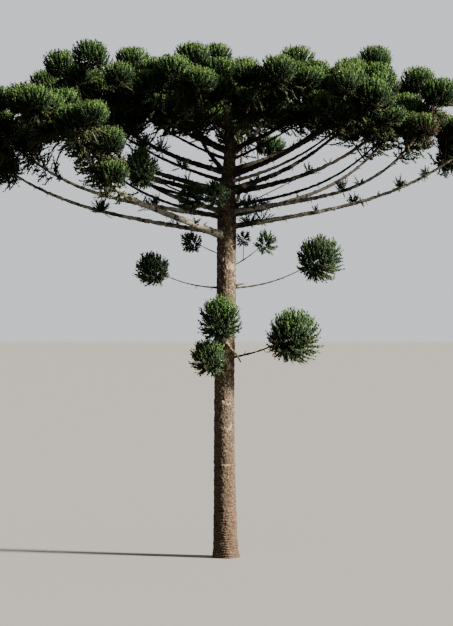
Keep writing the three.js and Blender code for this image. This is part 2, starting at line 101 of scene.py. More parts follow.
# The lowest tier first: where its limbs leave the trunk, their radius, the slope that they leave with,
# how late they curl up, the bare share of each, and its side twigs. Then each limb: its azimuth, reach,
# tip height, how far above the tier's height it leaves, and what it has of its own.
TIERS = (
    dict(height=8.8, radius=0.076, slope=0.16, curl=4, bare=0.78, twigs=5, limbs=(
        dict(azimuth=176, reach=7.0, tip=11.4, above=0),
        dict(azimuth=226, reach=5.7, tip=11.45, above=-0.09, slope=0.25, curl=7, radius=0.108, bare=0.74),
        dict(azimuth=357, reach=6.9, tip=11.5, above=0.18),
        dict(azimuth=84, reach=5.8, tip=12.9, above=0.06, slope=0.36),
    )),
    dict(height=9.33, radius=0.072, slope=0.13, curl=4, bare=0.75, twigs=5, limbs=(
        dict(azimuth=186, reach=6.5, tip=12.0, above=-0.06),
        dict(azimuth=343, reach=5.9, tip=12.4, above=0.06, curl=5),
        dict(azimuth=128, reach=6.2, tip=12.4, above=0.06, slope=0.2),
        dict(azimuth=38, reach=6.3, tip=12.35, above=-0.04, slope=0.2),
    )),
    dict(height=9.9, radius=0.07, slope=0.2, curl=3.2, bare=0.71, twigs=5, limbs=(
        dict(azimuth=207, reach=6.0, tip=12.05, above=0.04),
        dict(azimuth=7, reach=5.3, tip=12.95, above=0),
        dict(azimuth=154, reach=5.7, tip=13.05, above=-0.06),
        dict(azimuth=314, reach=5.3, tip=12.15, above=0.06),
    )),
    dict(height=10.45, radius=0.062, slope=0.28, curl=2.8, bare=0.65, twigs=4, limbs=(
        dict(azimuth=174, reach=4.65, tip=13.4, above=0),
        dict(azimuth=24, reach=4.5, tip=13.65, above=0.07),
        dict(azimuth=106, reach=4.7, tip=13.45, above=-0.04),
        dict(azimuth=330, reach=4.5, tip=12.75, above=-0.09),
    )),
    dict(height=11.0, radius=0.054, slope=0.4, curl=2.4, bare=0.56, twigs=4, limbs=(
        dict(azimuth=196, reach=3.9, tip=13.45, above=0),
        dict(azimuth=354, reach=3.3, tip=13.1, above=0.07),
        dict(azimuth=62, reach=3.7, tip=13.5, above=-0.07),
        dict(azimuth=138, reach=3.7, tip=13.7, above=0.05),
    )),
    dict(height=11.65, radius=0.044, slope=0.45, curl=2, bare=0.6, twigs=3, limbs=(
        dict(azimuth=168, reach=2.2, tip=13.2, above=0),
        dict(azimuth=246, reach=3.7, tip=12.8, above=-0.35, slope=0.3),
        dict(azimuth=20, reach=2.0, tip=13.5, above=-0.06),
        dict(azimuth=290, reach=3.6, tip=12.8, above=-0.25, slope=0.3),
    )),
    dict(height=12.25, radius=0.034, slope=0.6, curl=1.8, bare=0.55, twigs=2, limbs=(
        dict(azimuth=70, reach=1.5, tip=13.3, above=0),
        dict(azimuth=230, reach=1.35, tip=13.4, above=0.16),
    )),
)
BOUGH_TIERS = 5
TIER_SEED = 100
SHOOT_SEED = 900

CROWN_TOP = 13.28
CROWN_RIM = 7.0
CROWN_SINK = 1.1
CROWN_TILT_NEAR = 0.11
CROWN_TILT_FAR = 0.03

# The young shoots: a short one is one solid with its tuft. Some have a second tuft on a twig, which
# leaves at a share of the stem and ends at an offset from there.
SHOOTS = (
    dict(name="left", height=7.33, azimuth=183, reach=2.03, tip=7.87, slope=0.02, curl=2.4,
         radius=0.024, size=0.47),
    dict(name="right", height=7.33, azimuth=357, reach=2.56, tip=8.17, slope=0.02, curl=2.3,
         radius=0.028, size=0.62),
    dict(name="lower_right", height=5.42, azimuth=352, reach=1.9, tip=6.05, slope=0.1, curl=2,
         radius=0.034, size=0.72),
    dict(name="front", height=5.65, azimuth=262, reach=0.9, tip=6.54, slope=0.5, curl=2,
         radius=0.026, size=0.59, short=True),
    dict(name="front_low", height=5.08, azimuth=238, reach=0.86, tip=5.48, slope=0.3, curl=2,
         radius=0.024, size=0.5, short=True),
    dict(name="upper_right", height=7.87, azimuth=4, reach=1.08, tip=8.6, slope=0.35, curl=2,
         radius=0.02, size=0.33, short=True,
         second=dict(share=0.42, offset=(0.02, -0.06, 0.64), size=0.23)),
    dict(name="upper_left", height=8.18, azimuth=176, reach=0.98, tip=8.62, slope=0.35, curl=1.6,
         radius=0.018, size=0.32, short=True),
    dict(name="crown_left", height=9.58, azimuth=221, reach=3.05, tip=10.56, slope=0.18, curl=5,
         radius=0.042, size=0.48, short=True,
         second=dict(share=0.74, offset=(-0.64, -0.42, 0.26), size=0.4)),
    dict(name="crown_front", height=9.36, azimuth=231, reach=1.53, tip=9.74, slope=0.2, curl=2,
         radius=0.026, size=0.42, short=True,
         second=dict(share=0.45, offset=(0.12, -0.62, 0.33), size=0.38)),
)
# Slender boughs that end among the others' foliage, and a dead one that ends short of it
SLENDER = (
    dict(name="left_low", height=9.2, azimuth=202, reach=4.6, tip=11.75, slope=0.22, curl=3.5),
    dict(name="left", height=9.62, azimuth=165, reach=4.6, tip=12.2, slope=0.2, curl=3.4),
    dict(name="left_high", height=10.2, azimuth=187, reach=4.2, tip=12.6, slope=0.3, curl=2.8),
    dict(name="left_top", height=10.8, azimuth=162, reach=3.2, tip=12.7, slope=0.38, curl=2.4, radius=0.046),
    dict(name="right", height=9.55, azimuth=353, reach=4.9, tip=12.3, slope=0.17, curl=3.6),
    dict(name="right_high", height=10.2, azimuth=13, reach=3.9, tip=12.5, slope=0.28, curl=2.6),
    dict(name="right_top", height=10.8, azimuth=343, reach=3.0, tip=12.5, slope=0.4, curl=2.2, radius=0.04),
    dict(name="right_dead", height=9.42, azimuth=334, reach=2.5, tip=10.45, slope=0.28, curl=1.5,
         radius=0.022, bare=1),
)
SLENDER_RADIUS = 0.054
SLENDER_SEED = 700
SLENDER_BARE = 0.8
SHOOT_BARE = 0.72
SHOOT_TWIG = 0.7
APEX_SIZE = 0.54
APEX_OFFSET = (-0.03, 0, 0.33)

# How finely the wood is cut into straight stretches when room is looked for
TRUNK_STRETCHES = 40
BARE_STRETCHES = 10
LEAFY_STRETCHES = 6
TWIG_STRETCHES = 3
TWIG_PROBES = 5

# What the looks add to the rule
GOLDEN_TURN = math.pi * (3 - math.sqrt(5))
PIECE_LIMIT = 200000  # triangles in one piece
TRUNK_SIDES = 16  # before subdivision
TRUNK_RINGS = 64
TRUNK_LEVELS = 3
RING_CROWDING = 1.6
LIMB_SIDES = 8  # of a curve's half round
LIMB_STEP = 0.025
LIMB_SINK = 0.07  # how far a limb's root reaches into the trunk
LIMB_STEPS = 12  # the fewest steps along a limb
FIRST_SHARE = 0.004  # of a limb's reach, where it starts at the earliest
UP = np.array((0.0, 0.0, 1.0))

# Leaf tints, in the order of the foliage's material slots. The fresh tint is partly real fresh growth and
# partly painted light on the tops of the tufts, and the deep tint is painted shade inside and under them
FRESH_AND_LIT, GREEN, YOUNG, DEEP_SHADE, OLIVE, DRY = range(6)


# Rows of the settings
def length_row(name, description, default, least=0.0):
    return FloatProperty(name=name, description=description, default=default, min=least, unit="LENGTH")


def colour_row(name, description, *default):
    return FloatVectorProperty(
        name=name, description=description, default=default, min=0, max=1, subtype="COLOR")


def angle_row(name, description, degrees):
    return FloatProperty(name=name, description=description, default=math.radians(degrees), subtype="ANGLE")


def amount_row(name, description, default, least=0.0):
    return FloatProperty(name=name, description=description, default=default, min=least)


def count_row(name, description, default, least=4):
    return IntProperty(name=name, description=description, default=default, min=least)


class PineWoodSettings(bpy.types.PropertyGroup):
    """Sizes and colours of the bark."""

    plate_depth: length_row("Plate depth", "How deep the cracks between bark plates are", 0.012)
    plate_width: length_row("Plate width", "Width of a bark plate on the trunk", 0.085, 0.01)
    plate_height: length_row("Plate height", "Height of a bark plate on the trunk", 0.12, 0.01)
    ring_spacing: length_row("Ring spacing", "From one wrinkle round the foot to the next", 0.064, 0.01)
    ring_depth: length_row("Ring depth", "Depth of the wrinkles round the trunk's foot", 0.0075)
    ring_zone: length_row("Ring zone", "Height over which the wrinkles fade", 2.4, 0.1)
    limb_relief: length_row("Limb relief", "Height of the lumps on a bough", 0.02)
    # Also used for painted shade: in the creases, dips and scar hollows, and on the trunk under the crown
    bark_dark_and_shade: colour_row("Crack colour", "Bark in the cracks and scars", 0.030, 0.021, 0.015)
    bark_foot: colour_row("Foot colour", "Reddish bark near the ground", 0.25, 0.128, 0.070)
    bark_warm: colour_row("Plate colour", "Bark plates further up", 0.30, 0.198, 0.118)
    bark_grey: colour_row("Weathered colour", "Weathered bark plates", 0.15, 0.115, 0.085)
    bark_cream: colour_row("Flake colour", "Pale bark where a plate has just come off", 0.86, 0.71, 0.48)
    limb_dark: colour_row("Limb colour", "Dark bark of the boughs", 0.042, 0.036, 0.028)
    limb_lichen: colour_row("Lichen colour", "Pale lichen on the boughs", 0.90, 0.85, 0.68)
    twig_brown: colour_row("Twig colour", "Young bark of the leafy twigs", 0.16, 0.12, 0.075)


class PineLeafSettings(bpy.types.PropertyGroup):
    """Sizes, numbers and tints of the leaves."""

    sprays: count_row("Sprays", "Leafy sprays on a tuft of the usual size", 112)
    spray_leaves: count_row("Leaves on a spray", "Leaves on the outer part of a tuft's spray", 9)
    strands: amount_row("Strands", "Older, longer sprays on each metre of leafy wood", 24)
    strand_leaves: count_row("Leaves on a strand", "Leaves on an older spray", 8)
    leaf_length: length_row("Leaf length", "Length of a leaf", 0.068, 0.01)
    leaf_width: length_row("Leaf width", "Width of a leaf", 0.033, 0.002)
    # The fresh tint: partly fresh growth, partly painted light on the tops of the tufts
    fresh: colour_row("Fresh tips", "Leaves at the tips of the top sprays", 0.130, 0.245, 0.056)
    green: colour_row("Green", "Leaves of the upper sprays", 0.056, 0.112, 0.040)
    young: colour_row("Young", "Leaves of the young shoots", 0.072, 0.124, 0.062)
    # The deep tint: painted shade inside a tuft, at its sides and foot, on strands and at the feet of stems
    deep: colour_row("Deep green", "Leaves inside and at the sides of a tuft", 0.027, 0.048, 0.023)
    olive: colour_row("Olive", "Older leaves under a tuft", 0.112, 0.132, 0.064)
    dry: colour_row("Dry", "Leaves that have died", 0.085, 0.042, 0.026)


class PineStageSettings(bpy.types.PropertyGroup):
    """The floor, the light and the camera."""

    camera_distance: length_row("Camera distance", "From the trunk to the camera", 60, 1)
    camera_height: length_row("Camera height", "Height of the camera over the ground", 6.65)
    camera_side: length_row("Camera side", "How far the camera stands to the right", 0.027, -10)
    lens: amount_row("Lens", "Focal length in millimetres on a 36 mm sensor", 126.7, 1)
    key: amount_row("Key light", "Strength of the light from the right", 9.0)
    key_azimuth: angle_row("Key azimuth", "Where the key light stands, from the front to the right", 74)
    key_elevation: angle_row("Key elevation", "How high the key light stands", 26)
    key_softness: angle_row("Key softness", "How wide the key light looks from the tree", 7)
    key_warmth: colour_row("Key colour", "Colour of the light from the right", 1.0, 0.92, 0.80)
    fill: amount_row("Fill light", "Strength of the light from all round", 0.16)
    backdrop: amount_row("Backdrop", "Brightness of the backdrop as the camera sees it", 0.95)
    floor: colour_row("Floor colour", "Colour of the plain floor", 0.58, 0.565, 0.55)
    bounce: colour_row("Bounce colour", "Colour of the light that the floor throws back", 0.06, 0.057, 0.05)
    sky: colour_row("Backdrop colour", "Colour of the light from all round", 0.86, 0.90, 0.95)


# The tree's rule
def seeded(seed):
    """A repeatable stream of numbers from 0 to 1."""
    mask = 0xFFFFFFFF
    state = seed & mask

    def draw():
        nonlocal state
        state = (state + 0x6D2B79F5) & mask
        t = ((state ^ (state >> 15)) * (1 | state)) & mask
        t ^= (t + (((t ^ (t >> 7)) * (61 | t)) & mask)) & mask
        return ((t ^ (t >> 14)) & mask) / (mask + 1)

    return draw


def along(table, x):
    """A smooth curve through rows of x and y."""
    last = len(table) - 1
    i = 0
    while i < last - 1 and x > table[i + 1][0]:
        i += 1

    def slope(k):
        a = table[max(0, k - 1)]
        b = table[min(last, k + 1)]
        return (b[1] - a[1]) / (b[0] - a[0])

    width = table[i + 1][0] - table[i][0]
    t = min(1, max(0, (x - table[i][0]) / width))
    t2 = t * t
    t3 = t2 * t
    start = (2 * t3 - 3 * t2 + 1) * table[i][1] + (t3 - 2 * t2 + t) * width * slope(i)
    return start + (3 * t2 - 2 * t3) * table[i + 1][1] + (t3 - t2) * width * slope(i + 1)


def trunk_centre(z):
    return np.array((along(LEAN, z), 0.0, z))


def trunk_radius(z):
    rest = 1 - max(0, z - TAPER_FROM) / (TAPER_TO - TAPER_FROM)
    stem = max(LEADER_RADIUS, STEM_RADIUS * rest ** TAPER_POWER)
    return stem + BUTT_SWELL * math.exp(-z / BUTT_FADE) + FLARE * math.exp(-z / FLARE_FADE)


def unit(vector):
    return vector / np.linalg.norm(vector)


def drawn(random, spread):
    """A draw from a spread, which is the least and how much more it may be."""
    return spread[0] + spread[1] * random()


class Limb:
    """A curve from the trunk's axis: level distance grows evenly, and the rise comes late."""

    def __init__(self, rule, seed):
        self.rule = rule
        self.random = seeded(seed)
        self.reach = rule["reach"]
        self.bare = rule["bare"]
        turn = math.radians(rule["azimuth"])
        self.root = trunk_centre(rule["height"])
        self.outward = np.array((math.cos(turn), math.sin(turn), 0.0))
        self.sideways = np.array((-math.sin(turn), math.cos(turn), 0.0))
        self.late = rule["tip"] - rule["height"] - rule["slope"] * self.reach
        self.phase = 2 * math.pi * self.random()

    def point(self, t):
        level = self.reach * t
        wave = WAVE * self.reach / WAVE_REACH * min(1, WAVE_ONSET * t)
        wander = wave * math.sin(self.phase + WAVE_TURNS * t)
        rise = self.rule["slope"] * level + self.late * t ** self.rule["curl"]
        return self.root + self.outward * level + self.sideways * wander + UP * rise

    def direction(self, t):
        ahead = self.point(min(1, t + DIRECTION_STEP))
        return unit(ahead - self.point(max(0, t - DIRECTION_STEP)))

    def radius(self, t):
        slim = self.rule["radius"] * (LIMB_TIP + (1 - LIMB_TIP) * (1 - t) ** LIMB_TAPER)
        return slim * (1 + COLLAR * math.exp(-self.reach * t / COLLAR_FADE))

    def surfacing(self):
        """The share of the limb where it comes out of the trunk."""
        depth = trunk_radius(self.rule["height"]) - LIMB_SINK
        return max(FIRST_SHARE, depth / self.reach)


class Tuft:
    """The middle and size of a ball of sprays, and the way that the wood under it points."""

    def __init__(self, centre, size, owner, aim):
        self.centre = centre
        self.size = size
        self.owner = owner
        self.aim = aim


class Twig:
    """A straight side twig with a tuft at its end."""

    def __init__(self, start, direction, length, radius):
        self.start = start
        self.direction = direction
        self.length = length
        self.radius = radius

    def point(self, t):
        return self.start + self.direction * self.length * t


class Layout:
    """What is placed: straight stretches of wood, and tufts, each with the solid that owns it."""

    def __init__(self):
        self.starts = []
        self.ends = []
        self.radii = []
        self.owners = []
        self.tufts = []

    def add_wood(self, point_at, radius_at, first, last, stretches, owner):
        for i in range(stretches):
            a = first + (last - first) * i / stretches
            b = first + (last - first) * (i + 1) / stretches
            self.starts.append(point_at(a))
            self.ends.append(point_at(b))
            self.radii.append(radius_at(a))
            self.owners.append(owner)

    def tuft_arrays(self):
        centres = np.array([tuft.centre for tuft in self.tufts])
        return centres, np.array([tuft.size for tuft in self.tufts])

    def wood_clearance(self, points, owner=None):
        """How far points are from the nearest wood, less that of their own solid."""
        starts = np.array(self.starts)
        spans = np.array(self.ends) - starts
        offsets = np.atleast_2d(points)[:, None, :] - starts
        share = (offsets * spans).sum(-1) / (spans * spans).sum(-1)
        nearest = offsets - np.clip(share, 0, 1)[..., None] * spans
        gaps = np.linalg.norm(nearest, axis=-1) - np.array(self.radii)
        if owner is not None:
            gaps[:, np.array(self.owners) == owner] = np.inf
        return gaps.min(1)

    def core_clearance(self, points, owner):
        """How far points are from the nearest core of other solids' tufts."""
        others = [tuft for tuft in self.tufts if tuft.owner != owner]
        centres = np.array([tuft.centre for tuft in others])
        cores = CORE_SHARE * np.array([tuft.size for tuft in others])
        return (np.linalg.norm(points[:, None, :] - centres, axis=-1) - cores).min(1)

    def tuft_fits(self, centre, size, owner):
        if centre[2] > crown_top(centre[0], centre[1]):
            return False
        if self.wood_clearance(centre, owner)[0] < CORE_SHARE * size + KEEP_OFF:
            return False
        centres, sizes = self.tuft_arrays()
        spacing = TUFT_SPACING * (size + sizes) / (2 * TUFT_SIZE)
        return bool((np.linalg.norm(centres - centre, axis=1) >= spacing).all())

    def twig_fits(self, twig, owner):
        points = np.array([twig.point(i / TWIG_PROBES) for i in range(TWIG_PROBES + 1)])
        needed = twig.radius + KEEP_OFF
        if (self.wood_clearance(points, owner) < needed).any():
            return False
        return not (self.core_clearance(points, owner) < needed).any()

    def enter_twig(self, twig, size, owner):
        self.tufts.append(Tuft(twig.point(1), size, owner, twig.direction))
        self.add_wood(twig.point, lambda t: twig.radius, 0, 1, TWIG_STRETCHES, owner)
        return twig


def crown_top(x, y):
    """The highest that the middle of a side twig's tuft may be over a place."""
    sink = CROWN_SINK * (math.hypot(x, y) / CROWN_RIM) ** 3
    return CROWN_TOP - sink + CROWN_TILT_NEAR * min(y, 0) + CROWN_TILT_FAR * max(y, 0)


def crown_limbs():
    limbs = []
    for row, tier in enumerate(TIERS):
        for k, own in enumerate(tier["limbs"]):
            rule = {**tier, **own}
            rule["height"] = tier["height"] + own["above"]
            limb = Limb(rule, TIER_SEED * (row + 1) + k)
            limb.group = f"tier{row + 1}"
            limb.name = f"{limb.group}_{'abcd'[k]}"
            limb.bough = f"bough_{limb.name}" if row < BOUGH_TIERS else None
            limb.foliage = f"foliage_{limb.name}"
            limbs.append(limb)
    return limbs


def shoot_limbs():
    limbs = []
    for k, shoot in enumerate(SHOOTS):
        limb = Limb({**shoot, "bare": SHOOT_BARE, "twigs": 0}, SHOOT_SEED + k)
        limb.group = "shoots"
        limb.name = f"shoot_{shoot['name']}"
        limb.bough = None if shoot.get("short") else f"{limb.name}_stem"
        limb.foliage = f"{limb.name}_tuft"
        limbs.append(limb)
    return limbs


def slender_limbs():
    limbs = []
    for k, rule in enumerate(SLENDER):
        limb = Limb({"bare": SLENDER_BARE, "radius": SLENDER_RADIUS, **rule}, SLENDER_SEED + k)
        limb.group = "slender"
        limb.name = f"slender_{rule['name']}"
        limb.bough = limb.foliage = None
        limb.placed = limb.fine = ()
        limbs.append(limb)
    return limbs


def place_second(layout, limb):
    second = limb.rule["second"]
    offset = np.array(second["offset"])
    length = np.linalg.norm(offset)
    start = limb.point(second["share"])
    twig = Twig(start, offset / length, length, SHOOT_TWIG * limb.rule["radius"])
    return layout.enter_twig(twig, second["size"], limb.foliage)


def twig_direction(limb, t, side, spreads):
    """Forwards, to one side and up, each by a draw from its spread."""
    ahead, aside, rise = spreads
    direction = limb.direction(t) * drawn(limb.random, ahead)
    direction = direction + limb.sideways * side * drawn(limb.random, aside)
    return unit(direction + UP * drawn(limb.random, rise))


def try_twig(limb, k, side):
    """A side twig in its own stretch of the leafy end, and the size of its tuft."""
    random = limb.random
    share = (k + TWIG_MARGIN + (1 - 2 * TWIG_MARGIN) * random()) / limb.rule["twigs"]
    t = limb.bare + FIRST_TWIG + (LAST_TWIG - limb.bare) * share
    direction = twig_direction(limb, t, side, (TWIG_AHEAD, TWIG_ASIDE, TWIG_RISE))
    size = TUFT_SIZE * (1 - TUFT_SPREAD * random())
    length = TWIG_LENGTH * drawn(random, TWIG_VARIES)
    return Twig(limb.point(t), direction, length, TWIG_RADIUS), size


def place_twigs(layout, limb):
    """Side twigs stand by turns on the left and right. One with no room is drawn again."""
    placed = [place_second(layout, limb)] if "second" in limb.rule else []
    for k in range(limb.rule["twigs"]):
        side = 1 if k % 2 == 0 else -1
        for _ in range(TWIG_TRIES):
            twig, size = try_twig(limb, k, side)
            if not layout.tuft_fits(twig.point(1), size, limb.foliage):
                continue
            if not layout.twig_fits(twig, limb.foliage):
                continue
            placed.append(layout.enter_twig(twig, size, limb.foliage))
            break
    return placed


# Finer twigs that the looks add between the others: small tufts inside the same crown
FINE_PER_METRE = 3.2
FINE_TRIES = 14
FINE_SIZE = 0.46
FINE_LENGTH = 0.5
FINE_RADIUS = 0.015
FINE_SPACING = 0.72  # between middles, as a share of the mean of the two sizes
FINE_FLOOR = 11.95  # the lowest middle of such a tuft over the trunk
FINE_FLOOR_TILT = 0.05
FINE_FLOOR_SINK = 0.55  # how far that drops at the rim
FINE_FLOOR_RIM = 4.5
FINE_TOP = 0.15  # how far they stay under the highest that the others may be
FINE_START = 0.6  # how far under that floor they may leave a limb
FINE_STRETCH = (0.2, 0.97)  # of a limb, looked at in FINE_PLACES places
FINE_PLACES = 40
FINE_WOOD = 0.2  # clear of wood by this share of the tuft's size
FINE_AHEAD = (-0.2, 0.9)
FINE_ASIDE = (0.2, 0.8)
FINE_RISE = (-0.4, 1.2)
FINE_SIZES = (0.85, 0.3)
FINE_VARIES = (0.7, 0.9)


def fine_floor(x, y):
    return FINE_FLOOR + FINE_FLOOR_TILT * y - FINE_FLOOR_SINK * min(1, abs(x) / FINE_FLOOR_RIM) ** 2


def fine_fits(layout, twig, size, owner):
    """Whether a finer twig's tuft is inside the crown, clear of wood, and apart from the others."""
    centre = twig.point(1)
    if not fine_floor(*centre[:2]) < centre[2] < crown_top(*centre[:2]) - FINE_TOP:
        return False
    centres, sizes = layout.tuft_arrays()
    apart = np.linalg.norm(centres - centre, axis=1)
    if (apart < FINE_SPACING * (sizes + size) / 2).any():
        return False
    return layout.wood_clearance(centre, owner)[0] > FINE_WOOD * size


def place_fine_twigs(layout, limb):
    """Finer twigs on the part of a limb that is high in the crown."""
    places = np.linspace(*FINE_STRETCH, FINE_PLACES)
    high = [t for t in places if limb.point(t)[2] > FINE_FLOOR - FINE_START]
    long = limb.reach * len(high) * (FINE_STRETCH[1] - FINE_STRETCH[0]) / FINE_PLACES
    placed = []
    for k in range(round(FINE_PER_METRE * long)):
        side = 1 if k % 2 == 0 else -1
        for _ in range(FINE_TRIES):
            t = high[int(limb.random() * len(high))]
            direction = twig_direction(limb, t, side, (FINE_AHEAD, FINE_ASIDE, FINE_RISE))
            size = FINE_SIZE * drawn(limb.random, FINE_SIZES)
            length = FINE_LENGTH * drawn(limb.random, FINE_VARIES)
            twig = Twig(limb.point(t), direction, length, FINE_RADIUS)
            if fine_fits(layout, twig, size, limb.foliage):
                placed.append(layout.enter_twig(twig, size, limb.foliage))
                break
    return placed


@functools.cache
def grown_tree():
    """The limbs and the layout, placed in the solids' order."""
    layout = Layout()
    limbs = crown_limbs() + shoot_limbs()
    layout.add_wood(trunk_centre, trunk_radius, 0, TRUNK_TOP, TRUNK_STRETCHES, "trunk")
    for limb in limbs:
        split = limb.bare if limb.bough else 0
        if limb.bough:
            layout.add_wood(limb.point, limb.radius, 0, split, BARE_STRETCHES, limb.bough)
        layout.add_wood(limb.point, limb.radius, split, 1, LEAFY_STRETCHES, limb.foliage)
    apex = trunk_centre(TRUNK_TOP) + np.array(APEX_OFFSET)
    layout.tufts.append(Tuft(apex, APEX_SIZE, "foliage_apex", UP))
    for limb in limbs:
        size = limb.rule.get("size") or TUFT_SIZE * (1 + TUFT_SPREAD * limb.random())
        layout.tufts.append(Tuft(limb.point(1), size, limb.foliage, limb.direction(1)))
    for limb in limbs:
        limb.placed = place_twigs(layout, limb)
    for limb in limbs:
        limb.fine = [] if limb.group == "shoots" else place_fine_twigs(layout, limb)
    return limbs, layout


# Meshes from arrays
def joined_mesh(name, points, triangles, slots=None):
    """An object of many small bodies, from an array of points and one of triangles."""
    if len(triangles) >= PIECE_LIMIT:
        raise RuntimeError(f"{name} has {len(triangles)} triangles: split it")
    mesh = bpy.data.meshes.new(name)
    mesh.vertices.add(len(points))
    mesh.vertices.foreach_set("co", np.ascontiguousarray(points, np.float32).ravel())
    mesh.loops.add(3 * len(triangles))
    mesh.loops.foreach_set("vertex_index", np.ascontiguousarray(triangles, np.int32).ravel())
    mesh.polygons.add(len(triangles))
    mesh.polygons.foreach_set("loop_start", np.arange(0, 3 * len(triangles), 3, dtype=np.int32))
    if slots is not None:
        mesh.polygons.foreach_set("material_index", np.ascontiguousarray(slots, np.int32))
    mesh.update(calc_edges=True)
    piece = bpy.data.objects.new(name, mesh)
    bpy.context.scene.collection.objects.link(piece)
    return piece


def join_parts(parts):
    """Points and triangles of several bodies as one pair of arrays."""
    points = []
    triangles = []
    count = 0
    for part_points, part_triangles in parts:
        points.append(part_points)
        triangles.append(part_triangles + count)
        count += len(part_points)
    return np.concatenate(points), np.concatenate(triangles)


# A tube's rings start from the first of these, or from the second where the tube starts near upright
TUBE_SIDE = np.array((0.36, 0.48, 0.8))
UPRIGHT_SIDE = np.array((1.0, 0.0, 0.0))
UPRIGHT_FROM = 0.7


def tube(centres, radii, sides):
    """A closed tube along a row of centres."""
    centres = np.asarray(centres)
    directions = np.gradient(centres, axis=0)
    directions /= np.linalg.norm(directions, axis=1)[:, None]
    level = TUBE_SIDE if abs(directions[0][2]) < UPRIGHT_FROM else UPRIGHT_SIDE
    across = np.cross(directions, level)
    across /= np.linalg.norm(across, axis=1)[:, None]
    other = np.cross(directions, across)
    angles = 2 * math.pi * np.arange(sides) / sides
    radii = np.asarray(radii)[:, None, None]
    ring = np.cos(angles)[:, None] * across[:, None, :]
    ring = ring + np.sin(angles)[:, None] * other[:, None, :]
    points = (centres[:, None, :] + radii * ring).reshape(-1, 3)
    points = np.vstack((points, centres[:1], centres[-1:]))
    return points, tube_triangles(len(centres), sides)


def tube_triangles(rings, sides):
    """Triangles of a tube whose rings of points are followed by its first and last middles."""
    triangles = []
    foot = rings * sides
    for k in range(sides):
        after = (k + 1) % sides
        triangles.append((foot, after, k))
        triangles.append((foot + 1, foot - sides + k, foot - sides + after))
        for i in range(rings - 1):
            a = i * sides + k
            b = i * sides + after
            triangles.append((a, b, b + sides))
            triangles.append((a, b + sides, a + sides))
    return np.array(triangles)


# Sprays
DOME_KIND = (0.40, 0.020)  # the bare share of the stem, and its radius
STRAND_KIND = (0.15, 0.016)


class Sprays:
    """Leafy sprays of one kind: where each starts, its chord, the bow of its middle, width and tint."""

    def __init__(self, leaves, bare, stem):
        self.leaves = leaves
        self.bare = bare
        self.stem = stem
        self.rows = []

    def add(self, foot, tip, bow, width, tint):
        self.rows.append((*foot, *(tip - foot), *bow, width, tint))

    def columns(self):
        rows = np.array(self.rows)
        return rows[:, 0:3], rows[:, 3:6], rows[:, 6:9], rows[:, 9], rows[:, 10].astype(int)


# A leaf has four corners: its base, its two shoulders and its tip, with a keel under the middle
LEAF_FACES = np.array(((0, 2, 1), (3, 1, 2), (0, 1, 3), (0, 3, 2)))
LEAF_CORNERS = ((0, 0, 0), (0.4, -1, 1), (0.4, 1, 1), (1, 0, 0))  # share of the length, side, lift
LEAF_KEEL = 0.28  # depth of the keel as a share of the width
LEAF_SPREAD = math.radians(38)  # between a leaf and its stem, from the spray's foot to its tip
TIP_SPREAD = math.radians(24)
LEAF_CROWDING = 0.85  # under 1, leaves crowd towards the tip of the spray
LEAF_VARIES = 0.16
LEAF_TURN_VARIES = 0.2
LEAF_SPREAD_VARIES = 0.08
LEAF_SEAT = 0.55  # how far out in the stem a leaf's base is

# A spray's stem goes through four points: its foot, two rings of three, and its end
KNOTS = np.array((0, 0.42, 0.86, 1))
STEM_PROFILE = np.array((0, 1, 1, 0))
STEM_SIDES = 3
STEM_SHORTER = 0.6  # a stem stops this share of a leaf before its spray's end
NEAR_UPRIGHT = 0.95
STEM_FACES = np.array((
    (0, 2, 1), (0, 3, 2), (0, 1, 3),
    (1, 2, 5), (1, 5, 4), (2, 3, 6), (2, 6, 5), (3, 1, 4), (3, 4, 6),
    (4, 5, 7), (5, 6, 7), (6, 4, 7)))
# A stem's first faces take the deep tint as painted shade at the foot of the spray
STEM_GREEN_FACE = 3  # the first faces are deep green, and the last have the tint of their leaves
STEM_TIP_FACE = 9
FRESH_AND_LIT_FROM = 0.72  # from here on, the leaves of a top spray have the fresh tint: fresh growth, and painted light on the tips
# Nearer a spray's foot than these, its leaves take the deep tint: painted shade inside the tuft
GREEN_FROM = 0.6
YOUNG_FROM = 0.3


def normalised(vectors):
    return vectors / np.linalg.norm(vectors, axis=-1, keepdims=True)


def spray_lines(sprays, settings):
    """The four points of each stem, and a level unit vector across each."""
    feet, chords, bows, widths, _ = sprays.columns()
    reach = np.linalg.norm(chords, axis=1)
    end = 1 - STEM_SHORTER * settings.leaf_length * widths / reach
    share = (KNOTS * end[:, None])[..., None]
    lines = feet[:, None] + share * chords[:, None] + 4 * share * (1 - share) * bows[:, None]
    upright = np.abs(chords[:, 2:3]) > NEAR_UPRIGHT * reach[:, None]
    across = np.cross(chords, np.where(upright, UPRIGHT_SIDE, UP))
    return lines, normalised(across)


def round_the_stem(forward, across, turn):
    """Unit vectors outwards and onwards round a stem, at an angle from its level side."""
    level = normalised(across - forward * (across * forward).sum(-1, keepdims=True))
    other = np.cross(forward, level)
    cosine = np.cos(turn)[..., None]
    sine = np.sin(turn)[..., None]
    return cosine * level + sine * other, cosine * other - sine * level


